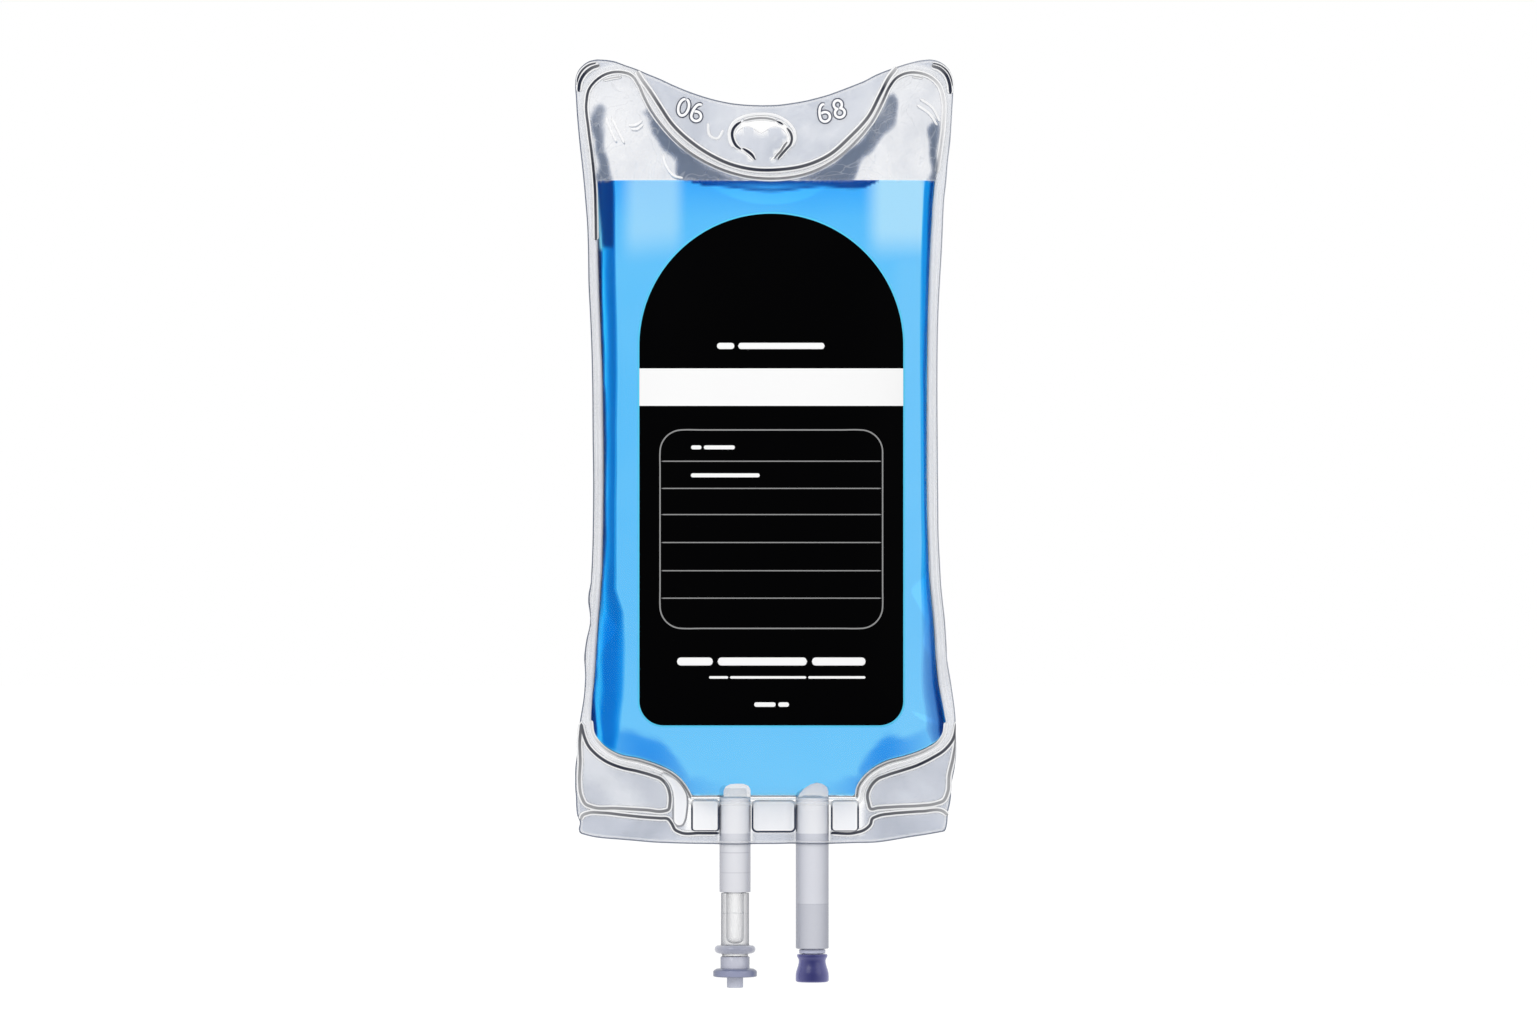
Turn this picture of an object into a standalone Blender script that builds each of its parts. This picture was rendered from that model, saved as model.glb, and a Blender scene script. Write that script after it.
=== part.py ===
"""A one-litre intravenous fluid bag, hanging from the eyelet in its top tab.

Two sheets of clear film are welded face to face round a chamber that holds a blue fluid under a
little air. A printed label lies on the front sheet. Two port tubes are welded in at the bottom: one
ends in an injection site with a rubber septum, the other in a spike port under a pull-off cap.

The frame is in metres with +Z up. The front of the bag faces -Y. The origin is the middle of the
eyelet's upper edge, where the hook bears, in the plane where the two sheets meet.
"""

import math

import bmesh
import bpy
import numpy as np
from mathutils import Vector

# Film, welds and clearances
FILM = 0.00035
WELD_GAP = 0.0003
FIT_GAP = 0.0003
SEAM_WIDTH = 0.0041
BEAD_HEIGHT = 0.0004
BEAD_WIDTH = 0.0014

# The port weld, from which the foot of the bag and both ports are measured
PORT_WELD_Z = -0.2644
PORT_WELD_HALF_WIDTH = 0.0300
SKIRT_CORNER_DROP = 0.0142
SKIRT_MIDDLE_DROP = 0.0180
SKIRT_HALF_WIDTH = 0.0714
SKIRT_CORNER_Z = PORT_WELD_Z - SKIRT_CORNER_DROP
SKIRT_MIDDLE_Z = PORT_WELD_Z - SKIRT_MIDDLE_DROP

# Outer edge of the film up the side: near the foot as (height above the port weld, half width),
# and further up as (height, half width)
FOOT_STATIONS = [
    (0.0044, 0.0732),
    (0.0234, 0.0745),
    (0.0384, 0.0725),
    (0.0694, 0.0692),
    (0.1144, 0.0674),
]
UPPER_STATIONS = [
    (-0.1100, 0.0674),
    (-0.0600, 0.0686),
    (-0.0240, 0.0700),
    (0.0000, 0.0724),
]
SIDE_STATIONS = [(PORT_WELD_Z + rise, half) for rise, half in FOOT_STATIONS] + UPPER_STATIONS

# Outer edge over the rounded top corner and down to the middle of the tab, as (half width, height)
TOP_EDGE = [
    (0.0737, 0.0120),
    (0.0722, 0.0200),
    (0.0655, 0.0238),
    (0.0560, 0.0220),
    (0.0410, 0.0158),
    (0.0220, 0.0086),
    (0.0000, 0.00585),
]

# Inner edge of the weld, which bounds the chamber: the foot as steps out and up from the end of the
# port weld, and the horn as (half width, height)
CHAMBER_FOOT = [
    (0.0043, 0.0052),
    (0.0100, 0.0112),
    (0.0220, 0.0149),
    (0.0328, 0.0192),
]
CHAMBER_HORN = [
    (0.0692, 0.0109),
    (0.0588, 0.0187),
    (0.0492, 0.0125),
    (0.0390, -0.0035),
    (0.0222, -0.0170),
]
SMILE_Z = -0.0235

# Half depth of the filled chamber, as (height, half depth), and how it falls away to the weld
CROWN = [
    (-0.2640, 0.0250),
    (-0.2000, 0.0250),
    (-0.1400, 0.0238),
    (-0.0800, 0.0212),
    (-0.0240, 0.0180),
    (0.0200, 0.0140),
]
CROWN_FLATNESS = 3.0
CROWN_ROUNDNESS = 0.56
TOP_SLOPE_LENGTH = 0.0800
FOOT_SLOPE_LENGTH = 0.0480

# Fluid
FLUID_LEVEL_Z = -0.0238
FLUID_INSET = 0.0008

# Label
LABEL_WIDTH = 0.1000
LABEL_TOP_Z = -0.0390
LABEL_ABOVE_PORT_WELD = 0.0309
LABEL_BOTTOM_Z = PORT_WELD_Z + LABEL_ABOVE_PORT_WELD
LABEL_CORNER_RADIUS = 0.0092
LABEL_THICKNESS = 0.00015
LABEL_CENTRE_X = 0.0024
BAND_TOP_Z = -0.0975
BAND_BOTTOM_Z = -0.1118

# Eyelet: an omega-shaped cut round a tongue, open above the tongue's notched top
EYELET_HALF_WIDTH = 0.0117
EYELET_WAIST_Z = -0.0060
EYELET_NECK_HALF_WIDTH = 0.0040
EYELET_NECK_Z = -0.0156
EYELET_SLIT = 0.0005
TONGUE_HUMP_X = 0.0056
TONGUE_HUMP_Z = -0.0026
TONGUE_NOTCH_Z = -0.0062

# Ports, each measured along its own axis down from the tube's upper end
PORT_MIDDLE_X = 0.0032
PORT_SPACING = 0.0301
PORT_RISE = 0.0060
PORT_TOP_Z = PORT_WELD_Z + PORT_RISE
TUBE_WEB = 0.0010
WRAP_ANGLE = math.radians(54)
WRAP_FADE = 0.0100

INJECTION_TUBE_DIAMETER = 0.0122
INJECTION_TUBE_WALL = 0.0014
INJECTION_TUBE_LENGTH = 0.0427
INJECTION_TUBE_END_Z = PORT_TOP_Z - INJECTION_TUBE_LENGTH
INJECTION_PLUG_LENGTH = 0.0155
INJECTION_BODY_TOP_Z = INJECTION_TUBE_END_Z + INJECTION_PLUG_LENGTH
INJECTION_BODY_DIAMETER = 0.0110
INJECTION_BODY_BORE = 0.0070
INJECTION_CUP_BELOW_TUBE = 0.0201
INJECTION_BODY_FLOOR_Z = INJECTION_TUBE_END_Z - INJECTION_CUP_BELOW_TUBE
INJECTION_BEAD_DIAMETER = 0.0160
INJECTION_BEAD_RADIUS = 0.0016
INJECTION_BEAD_BELOW_CUP = 0.0022
INJECTION_BEAD_Z = INJECTION_BODY_FLOOR_Z - INJECTION_BEAD_BELOW_CUP
INJECTION_NECK_DIAMETER = 0.0100
INJECTION_NECK_BELOW_BEAD = 0.0043
INJECTION_NECK_END_Z = INJECTION_BEAD_Z - INJECTION_NECK_BELOW_BEAD
COLLAR_NECK_DIAMETER = 0.0110
COLLAR_FLANGE_DIAMETER = 0.0172
COLLAR_NECK_LENGTH = 0.0031
COLLAR_FLANGE_TOP_Z = INJECTION_NECK_END_Z - COLLAR_NECK_LENGTH
COLLAR_FLANGE_HEIGHT = 0.0034
COLLAR_END_Z = COLLAR_FLANGE_TOP_Z - COLLAR_FLANGE_HEIGHT
SEPTUM_DIAMETER = 0.0076
SEPTUM_HEAD_GAP = 0.0008
SEPTUM_HEAD_TOP_Z = INJECTION_NECK_END_Z - SEPTUM_HEAD_GAP
SEPTUM_HEAD_HEIGHT = 0.0033
SEPTUM_HEAD_END_Z = SEPTUM_HEAD_TOP_Z - SEPTUM_HEAD_HEIGHT
SEPTUM_NUB_DIAMETER = 0.0063
SEPTUM_NUB_LENGTH = 0.0042
SEPTUM_END_Z = COLLAR_END_Z - SEPTUM_NUB_LENGTH

SPIKE_TUBE_DIAMETER = 0.0129
SPIKE_TUBE_WALL = 0.0015
SPIKE_TUBE_LENGTH = 0.0647
SPIKE_TUBE_END_Z = PORT_TOP_Z - SPIKE_TUBE_LENGTH
SPIKE_TUBE_CUT_ANGLE = math.radians(38)
SPIKE_PLUG_LENGTH = 0.0177
SPIKE_BODY_TOP_Z = SPIKE_TUBE_END_Z + SPIKE_PLUG_LENGTH
SPIKE_BORE = 0.0062
SPIKE_WEB_ABOVE_TUBE_END = 0.0071
SPIKE_WEB_Z = SPIKE_TUBE_END_Z + SPIKE_WEB_ABOVE_TUBE_END
SPIKE_WEB = 0.0006
SPIKE_RING_DIAMETER = 0.0104
SPIKE_RING_HEIGHT = 0.0016
NOZZLE_DIAMETER = 0.0080
NOZZLE_BELOW_TUBE_END = 0.0097
NOZZLE_END_Z = SPIKE_TUBE_END_Z - NOZZLE_BELOW_TUBE_END

CAP_RIM_DIAMETER = 0.0119
CAP_WAIST_DIAMETER = 0.0108
CAP_WIDEST_DIAMETER = 0.0130
CAP_BELOW_NOZZLE = 0.0034
CAP_END_Z = NOZZLE_END_Z - CAP_BELOW_NOZZLE

TURNED_STEPS = 20
RIM_STEPS = [0.0, 0.0014, 0.0045]

INJECTION_X = PORT_MIDDLE_X - PORT_SPACING / 2
SPIKE_X = PORT_MIDDLE_X + PORT_SPACING / 2


# Small helpers

def clear_scene():
    """Remove the objects that the file opened with."""
    for obj in list(bpy.data.objects):
        bpy.data.objects.remove(obj, do_unlink=True)


def collection(name):
    made = bpy.data.collections.new(name)
    bpy.context.scene.collection.children.link(made)
    return made


def material(name, colour, roughness, alpha=1.0):
    made = bpy.data.materials.new(name)
    made.use_nodes = True
    shader = made.node_tree.nodes["Principled BSDF"]
    shader.inputs["Base Color"].default_value = (*colour, 1.0)
    shader.inputs["Roughness"].default_value = roughness
    shader.inputs["Metallic"].default_value = 0.0
    shader.inputs["Alpha"].default_value = alpha
    made.diffuse_color = (*colour, alpha)
    return made


def add_object(name, mesh, group, finish=None):
    obj = bpy.data.objects.new(name, mesh)
    group.objects.link(obj)
    if finish:
        mesh.materials.append(finish)
    return obj


def add_cutter(name, mesh, group):
    cutter = add_object(name, mesh, group)
    cutter.hide_render = True
    cutter.display_type = "WIRE"
    return cutter


def cut(obj, cutter):
    boolean = obj.modifiers.new("cut by " + cutter.name, "BOOLEAN")
    boolean.operation = "DIFFERENCE"
    boolean.solver = "EXACT"
    boolean.object = cutter


def thicken(obj, thickness):
    """Grow a wall along the normals of an open surface."""
    solidify = obj.modifiers.new("wall", "SOLIDIFY")
    solidify.thickness = thickness
    solidify.offset = 1.0


def round_off(mesh, angle=math.radians(35)):
    mesh.shade_smooth()
    mesh.set_sharp_from_angle(angle=angle)


def smooth_curve(knots, count):
    """Points evenly spaced along a cubic curve through the knots, whose tangents are the mean slopes there."""
    knots = np.array(knots, float)
    chord = np.concatenate([[0.0], np.cumsum(np.linalg.norm(np.diff(knots, axis=0), axis=1))])
    slope = np.gradient(knots, chord, axis=0)
    place = np.linspace(0.0, chord[-1], 600)
    first = np.clip(np.searchsorted(chord, place) - 1, 0, len(chord) - 2)
    span = (chord[first + 1] - chord[first])[:, None]
    u = (place - chord[first])[:, None] / span
    fine = (
        (1 + 2 * u) * (1 - u) ** 2 * knots[first]
        + u * (1 - u) ** 2 * span * slope[first]
        + u**2 * (3 - 2 * u) * knots[first + 1]
        + u**2 * (u - 1) * span * slope[first + 1]
    )
    length = np.concatenate([[0.0], np.cumsum(np.linalg.norm(np.diff(fine, axis=0), axis=1))])
    wanted = np.linspace(0.0, length[-1], count)
    return np.stack([np.interp(wanted, length, fine[:, axis]) for axis in (0, 1)], axis=1)


def half_of_symmetric_curve(knots, count):
    """Points along a smooth curve to its middle, the last knot, beyond which it is mirrored."""
    mirrored = [(-x, z) for x, z in knots[-2::-1]]
    return smooth_curve(list(knots) + mirrored, 2 * count - 1)[:count]


def smoothstep(low, high, value):
    share = np.clip((value - low) / (high - low), 0.0, 1.0)
    return share * share * (3 - 2 * share)


# The film's outlines: half loops from the middle of the bottom, up one side, to the middle of the top.
# Both half loops have the same number of points, so that a loft can join them, and as many points
# along the top as along the bottom, so that a grid can fill them.

PORT_STEPS = 9
SKIRT_STEPS = 4
HIP_STEPS = 2
FOOT_STEPS = SKIRT_STEPS + HIP_STEPS
SIDE_STEPS = 8
BOTTOM_STEPS = PORT_STEPS + FOOT_STEPS
TOP_STEPS = BOTTOM_STEPS


def wrap_radius(tube_diameter):
    """Radius of the film's corners round a tube, so that its flats still clear the tube."""
    return (tube_diameter / 2 + FIT_GAP) / math.cos(WRAP_ANGLE / 4)


def port_stations(tube_diameter):
    """Distances from the middle of the port weld where the film bends over the tube on that side."""
    radius = wrap_radius(tube_diameter)
    steps = [radius * math.sin(WRAP_ANGLE * k / 2) for k in range(3)] + [radius / math.sin(WRAP_ANGLE)]
    centre = PORT_SPACING / 2
    offsets = sorted({-step for step in steps} | set(steps))
    return [0.0, (centre + offsets[0]) / 2] + [centre + step for step in offsets] + [PORT_WELD_HALF_WIDTH]


def skirt_z(x):
    """Height of the film's lower edge: a shallow arc from the middle out to the corner."""
    return SKIRT_MIDDLE_Z + (SKIRT_CORNER_Z - SKIRT_MIDDLE_Z) * (x / SKIRT_HALF_WIDTH) ** 2


def outer_half(stations):
    """Half loop of the film's cut edge."""
    port_zone = [(x, skirt_z(x)) for x in stations]
    skirt_x = np.linspace(PORT_WELD_HALF_WIDTH, SKIRT_HALF_WIDTH, SKIRT_STEPS + 1)[1:]
    skirt = [(x, skirt_z(x)) for x in skirt_x]
    corner = [(SKIRT_HALF_WIDTH, skirt_z(SKIRT_HALF_WIDTH))]
    flank = [(half, z) for z, half in SIDE_STATIONS]
    hip = smooth_curve(corner + flank[:2], HIP_STEPS + 1)[1:]
    side = smooth_curve(flank[1:] + TOP_EDGE[:1], SIDE_STEPS + 1)[1:]
    top = half_of_symmetric_curve(TOP_EDGE, TOP_STEPS + 1)[1:]
    return np.vstack([port_zone, skirt, hip, side, top])


def chamber_half(stations):
    """Half loop of the weld's inner edge."""
    port_zone = [(x, PORT_WELD_Z) for x in stations]
    seam = [(half - SEAM_WIDTH, z) for z, half in SIDE_STATIONS]
    hip_knot = (SIDE_STATIONS[1][1] - 1.4 * SEAM_WIDTH, SIDE_STATIONS[1][0] + SEAM_WIDTH)
    foot_knots = [(PORT_WELD_HALF_WIDTH + out, PORT_WELD_Z + up) for out, up in [(0.0, 0.0)] + CHAMBER_FOOT]
    foot_knots.append(hip_knot)
    foot = smooth_curve(foot_knots, FOOT_STEPS + 1)[1:]
    side = smooth_curve([hip_knot] + seam[2:] + CHAMBER_HORN[:1], SIDE_STEPS + 1)[1:]
    top = half_of_symmetric_curve(CHAMBER_HORN + [(0.0, SMILE_Z)], TOP_STEPS + 1)[1:]
    return np.vstack([port_zone, foot, side, top])


def lean(z):
    """Sideways shift of the foot of the chamber, whose ports sit off the middle of the film."""
    return PORT_MIDDLE_X * (1 - smoothstep(PORT_TOP_Z, SIDE_STATIONS[2][0], z))


def whole_loop(half_of):
    """Close a half loop into a loop, with the spike port's stations at +X and the injection port's at -X."""
    right = half_of(port_stations(SPIKE_TUBE_DIAMETER))
    left = half_of(port_stations(INJECTION_TUBE_DIAMETER))
    loop = np.vstack([right, (left * [-1, 1])[-2:0:-1]])
    return loop


def outer_loop():
    loop = whole_loop(outer_half)
    inner_share = 1 - smoothstep(PORT_WELD_HALF_WIDTH, SKIRT_HALF_WIDTH, np.abs(loop[:, 0]))
    loop[:, 0] += lean(loop[:, 1]) * inner_share
    return loop


def chamber_loop():
    loop = whole_loop(chamber_half)
    loop[:, 0] += lean(loop[:, 1])
    return loop


def grown(loop, distance):
    """Move a loop outwards by a distance, along its normals."""
    along = np.roll(loop, -1, axis=0) - np.roll(loop, 1, axis=0)
    along /= np.linalg.norm(along, axis=1)[:, None]
    return loop + distance * np.stack([along[:, 1], -along[:, 0]], axis=1)


def patch_within(loop):
    """A grid of points that fills a loop, blended from its bottom, right side, top and left side."""
    right_foot, right_top = BOTTOM_STEPS, BOTTOM_STEPS + SIDE_STEPS
    left_top, left_foot = right_top + 2 * TOP_STEPS, len(loop) - BOTTOM_STEPS
    bottom = np.roll(loop, BOTTOM_STEPS, axis=0)[:2 * BOTTOM_STEPS + 1]
    right = loop[right_foot:right_top + 1]
    top = loop[right_top:left_top + 1][::-1]
    left = loop[left_top:left_foot + 1][::-1]
    u = np.linspace(0, 1, len(bottom))[None, :, None]
    v = np.linspace(0, 1, len(right))[:, None, None]
    between_ends = (1 - v) * bottom[None] + v * top[None]
    between_sides = (1 - u) * left[:, None] + u * right[:, None]
    corners = ((1 - v) * ((1 - u) * bottom[0] + u * bottom[-1]) + v * ((1 - u) * top[0] + u * top[-1]))
    return between_ends + between_sides - corners


# Depths of the film from the plane of the weld

def fall_away(share):
    """How deep the chamber is, from 0 at the weld (share 0) to 1 where its wall has levelled out (share 1)."""
    return (1 - (1 - np.clip(share, 0.0, 1.0)) ** CROWN_FLATNESS) ** CROWN_ROUNDNESS


def crown_within(edge):
    """A function for the half depth of a chamber inside an edge loop.

    The right half of the loop is read as three curves: its height along the foot, its half width up the
    side, and its height along the horn and the smile. The depth falls away to each of them.
    """
    half = edge[:len(edge) // 2 + 1]
    half = np.stack([half[:, 0] - lean(half[:, 1]), half[:, 1]], axis=1)
    hip, horn = BOTTOM_STEPS, BOTTOM_STEPS + SIDE_STEPS
    foot, side, top = half[:hip + 1], half[hip:horn + 1], half[:horn - 1:-1]

    def depth(x, z):
        across = np.abs(x - lean(z))
        from_side = 1 - across / np.interp(z, side[:, 1], side[:, 0])
        from_foot = (z - np.interp(across, foot[:, 0], foot[:, 1])) / FOOT_SLOPE_LENGTH
        from_top = (np.interp(across, top[:, 0], top[:, 1]) - z) / TOP_SLOPE_LENGTH
        crown = np.interp(z, [height for height, _ in CROWN], [half_depth for _, half_depth in CROWN])
        return crown * fall_away(from_side) * fall_away(from_foot) * fall_away(from_top)
    return depth


def port_depth(x, z):
    """Half depth of the film over the tubes: each tube's arc, with tangents down to the weld."""
    depth = np.zeros_like(x)
    for centre, diameter in ((INJECTION_X, INJECTION_TUBE_DIAMETER), (SPIKE_X, SPIKE_TUBE_DIAMETER)):
        radius = wrap_radius(diameter)
        away = np.abs(x - centre)
        arc = np.sqrt(np.maximum(radius**2 - away**2, 0.0))
        tangent = (radius / math.sin(WRAP_ANGLE) - away) * math.tan(WRAP_ANGLE)
        wrapped = np.where(away < radius * math.sin(WRAP_ANGLE) + 1e-6, arc, np.maximum(tangent, 0.0))
        depth = np.maximum(depth, wrapped)
    return depth * (1 - smoothstep(PORT_TOP_Z, PORT_TOP_Z + WRAP_FADE, z))


# Pieces of film, fluid and label

def skin(rings, patch, name):
    """Skin a stack of loops that have the same number of points, and the grid inside the last of them."""
    shape = bmesh.new()
    bands = [[shape.verts.new(point) for point in list(ring) + list(ring[:1])] for ring in rings]
    for rows in (bands, [[shape.verts.new(point) for point in row] for row in patch]):
        for outer, inner in zip(rows[:-1], rows[1:]):
            for k in range(len(outer) - 1):
                shape.faces.new((outer[k], outer[k + 1], inner[k + 1], inner[k]))
    bmesh.ops.remove_doubles(shape, verts=shape.verts, dist=1e-6)
    mesh = bpy.data.meshes.new(name)
    shape.to_mesh(mesh)
    shape.free()
    return mesh


def flip(mesh):
    """Turn every face of a mesh round."""
    shape = bmesh.new()
    shape.from_mesh(mesh)
    bmesh.ops.reverse_faces(shape, faces=shape.faces)
    shape.to_mesh(mesh)
    shape.free()


def placed(points, depth, side):
    """Stand plane points off at a depth, to the front (side -1) or the back (side 1)."""
    return np.stack([points[..., 0], side * depth, points[..., 1]], axis=-1)


def crown_surface(edge, side, least, share=1.0):
    """Rings and a grid over the chamber, from an edge loop in. Their depth is at least a function's value."""
    crown = crown_within(edge)
    loops = [grown(edge, -step) for step in RIM_STEPS]
    flat = np.zeros(len(edge))
    rings = [placed(loops[0], np.maximum(flat, least(loops[0])), side)]
    for loop in loops[1:]:
        rings.append(placed(loop, np.maximum(share * crown(*loop.T), least(loop)), side))
    patch = patch_within(loops[-1])
    depth = share * crown(patch[..., 0], patch[..., 1])
    return rings, placed(patch, np.maximum(depth, least(patch)), side)


def film_rest(points):
    """The least depth of the film's inner face: half the gap in a weld, or what a port tube needs."""
    return np.maximum(WELD_GAP / 2, port_depth(points[..., 0], points[..., 1]))


def weld_rings(side):
    """The inner face of one sheet outside the chamber: flat, with a raised bead along the chamber's edge."""
    chamber = chamber_loop()
    rows = ((outer_loop(), 0.0), (grown(chamber, BEAD_WIDTH), 0.0),
            (grown(chamber, BEAD_WIDTH / 2), BEAD_HEIGHT))
    return [placed(loop, np.maximum(film_rest(loop), WELD_GAP / 2 + raised), side) for loop, raised in rows]


def film_mesh(name, side):
    """The inner face of one sheet, facing away from the other sheet."""
    rings, patch = crown_surface(chamber_loop(), side, film_rest)
    mesh = skin(weld_rings(side) + rings, patch, name)
    if side > 0:
        flip(mesh)
    return mesh


def make_film(name, side, finish, parts, eyelet):
    mesh = film_mesh(name, side)
    film = add_object(name, mesh, parts, finish)
    thicken(film, FILM)
    cut(film, eyelet)
    round_off(mesh)


def box_mesh(name, low, high):
    shape = bmesh.new()
    bmesh.ops.create_cube(shape, size=1.0)
    low, high = Vector(low), Vector(high)
    for vert in shape.verts:
        vert.co = Vector([(l + h) / 2 + c * (h - l) for l, h, c in zip(low, high, vert.co)])
    mesh = bpy.data.meshes.new(name)
    shape.to_mesh(mesh)
    shape.free()
    return mesh


def prism_mesh(name, outline, half_depth):
    """A prism on an outline in the XZ plane, through both sheets of film."""
    shape = bmesh.new()
    verts = [shape.verts.new((x, -half_depth, z)) for x, z in outline]
    face = shape.faces.new(verts)
    grown_faces = bmesh.ops.extrude_face_region(shape, geom=[face])
    moved = [item for item in grown_faces["geom"] if isinstance(item, bmesh.types.BMVert)]
    bmesh.ops.translate(shape, verts=moved, vec=(0.0, 2 * half_depth, 0.0))
    bmesh.ops.recalc_face_normals(shape, faces=shape.faces)
    mesh = bpy.data.meshes.new(name)
    shape.to_mesh(mesh)
    shape.free()
    return mesh


def cylinder_mesh(name, centre_x, radius, low_z, high_z):
    shape = bmesh.new()
    bmesh.ops.create_cone(shape, cap_ends=True, segments=TURNED_STEPS, radius1=radius, radius2=radius,
                          depth=high_z - low_z)
    bmesh.ops.translate(shape, verts=shape.verts, vec=(centre_x, 0.0, (low_z + high_z) / 2))
    mesh = bpy.data.meshes.new(name)
    shape.to_mesh(mesh)
    shape.free()
    return mesh


def make_eyelet_cutter(cutters):
    """The opening over the tongue and the slit down both of its sides."""
    rim = smooth_curve([(-EYELET_NECK_HALF_WIDTH, EYELET_NECK_Z),
                        (-0.92 * EYELET_HALF_WIDTH, EYELET_WAIST_Z - 0.0035),
                        (-EYELET_HALF_WIDTH, EYELET_WAIST_Z),
                        (-0.72 * EYELET_HALF_WIDTH, 0.22 * EYELET_WAIST_Z),
                        (0.0, 0.0),
                        (0.72 * EYELET_HALF_WIDTH, 0.22 * EYELET_WAIST_Z),
                        (EYELET_HALF_WIDTH, EYELET_WAIST_Z),
                        (0.92 * EYELET_HALF_WIDTH, EYELET_WAIST_Z - 0.0035),
                        (EYELET_NECK_HALF_WIDTH, EYELET_NECK_Z)], 29)
    shoulder = EYELET_HALF_WIDTH - EYELET_SLIT
    tongue_half = smooth_curve([(TONGUE_HUMP_X, TONGUE_HUMP_Z),
                                (0.82 * shoulder, TONGUE_HUMP_Z - 0.0012),
                                (shoulder, EYELET_WAIST_Z),
                                (0.92 * shoulder, EYELET_WAIST_Z - 0.0035),
                                (EYELET_NECK_HALF_WIDTH - EYELET_SLIT, EYELET_NECK_Z)], 10)
    right = [tuple(point) for point in tongue_half[::-1]]
    left = [(-x, z) for x, z in tongue_half]
    outline = [tuple(point) for point in rim] + right + [(0.0, TONGUE_NOTCH_Z)] + left
    return add_cutter("eyelet_cutter", prism_mesh("eyelet_cutter", outline, 10 * (FILM + WELD_GAP)), cutters)


def make_fluid(finish, parts, cutters):
    """The fluid fills the chamber up to its level and stands clear of the film and of the tube ends."""
    slimmer = 1 - FIT_GAP / max(half_depth for _, half_depth in CROWN)
    edge = grown(chamber_loop(), -FLUID_INSET)
    rings, patch = crown_surface(edge, -1, lambda points: np.zeros(points.shape[:-1]), slimmer)
    mesh = skin(rings, patch, "fluid")
    fluid = add_object("fluid", mesh, parts, finish)
    mirror = fluid.modifiers.new("back half", "MIRROR")
    mirror.use_axis = (False, True, False)
    mirror.merge_threshold = 0.00001
    deep = 2 * max(half_depth for _, half_depth in CROWN)
    wide = 2 * max(half for _, half in SIDE_STATIONS)
    air = box_mesh("air_cutter", (-wide, -deep, FLUID_LEVEL_Z), (wide, deep, FLUID_LEVEL_Z + deep + wide))
    cut(fluid, add_cutter("air_cutter", air, cutters))
    for centre, diameter in ((INJECTION_X, INJECTION_TUBE_DIAMETER), (SPIKE_X, SPIKE_TUBE_DIAMETER)):
        name = "tube_cutter_" + ("left" if centre < PORT_MIDDLE_X else "right")
        mouth = cylinder_mesh(name, centre, (diameter / 2 + FIT_GAP) / math.cos(math.pi / TURNED_STEPS),
                              PORT_WELD_Z - deep, PORT_TOP_Z + FIT_GAP)
        cut(fluid, add_cutter(name, mouth, cutters))
    round_off(mesh)
    return fluid


def label_outline():
    """Outline of the label: a half circle above, straight sides, and rounded lower corners."""
    radius = LABEL_WIDTH / 2
    corner = LABEL_CORNER_RADIUS
    arch = [(radius * math.cos(math.radians(a)), LABEL_TOP_Z - radius + radius * math.sin(math.radians(a)))
            for a in range(0, 181, 10)]
    quarter = [math.radians(a) for a in range(0, 91, 30)]
    left_foot = [(-radius + corner - corner * math.cos(a), LABEL_BOTTOM_Z + corner - corner * math.sin(a))
                 for a in quarter]
    right_foot = [(-x, z) for x, z in left_foot[::-1]]
    return [(x + LABEL_CENTRE_X, z) for x, z in arch + left_foot + right_foot]


def band_outline():
    """Outline of the white band, which runs from edge to edge of the label."""
    left, right = LABEL_CENTRE_X - LABEL_WIDTH / 2, LABEL_CENTRE_X + LABEL_WIDTH / 2
    return [(left, BAND_BOTTOM_Z), (right, BAND_BOTTOM_Z), (right, BAND_TOP_Z), (left, BAND_TOP_Z)]


def make_print(name, outline, lift, finish, parts, cutters):
    """A thin layer parallel to the front sheet and a lift in front of it, within an outline."""
    patch = crown_surface(chamber_loop(), -1, film_rest)[1]
    layer = add_object(name, skin([], patch, name), parts, finish)
    solidify = layer.modifiers.new("layer", "SOLIDIFY")
    solidify.thickness = LABEL_THICKNESS
    solidify.offset = 1.0 + 2 * (FILM + lift) / LABEL_THICKNESS
    deep = 2 * max(half_depth for _, half_depth in CROWN)
    outline_cutter = add_cutter(name + "_outline", prism_mesh(name + "_outline", outline, deep), cutters)
    trim = layer.modifiers.new("outline", "BOOLEAN")
    trim.operation = "INTERSECT"
    trim.solver = "EXACT"
    trim.object = outline_cutter
    return layer


# Turned pieces

def turned(name, profile, centre_x, finish, parts):
    """Spin a closed profile of (radius, height) points about a port's axis. It runs down the outer side."""
    shape = bmesh.new()
    verts = [shape.verts.new((radius, 0.0, z)) for radius, z in profile]
    for first, second in zip(verts, verts[1:]):
        shape.edges.new((first, second))
    if profile[0][0] > 0:
        shape.edges.new((verts[-1], verts[0]))
    mesh = bpy.data.meshes.new(name)
    shape.to_mesh(mesh)
    shape.free()
    obj = add_object(name, mesh, parts, finish)
    obj.location.x = centre_x
    screw = obj.modifiers.new("turned", "SCREW")
    screw.axis = "Z"
    screw.steps = TURNED_STEPS
    screw.render_steps = TURNED_STEPS
    screw.use_merge_vertices = True
    screw.merge_threshold = 0.00001
    screw.use_smooth_shade = True
    return obj


def rounded(radius, z, size, steps=3):
    """Points round an upper outer edge, from the flat top down to the side."""
    turns = [math.radians(90 * k / steps) for k in range(steps + 1)]
    return [(radius - size + size * math.sin(a), z - size + size * math.cos(a)) for a in turns]


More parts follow.
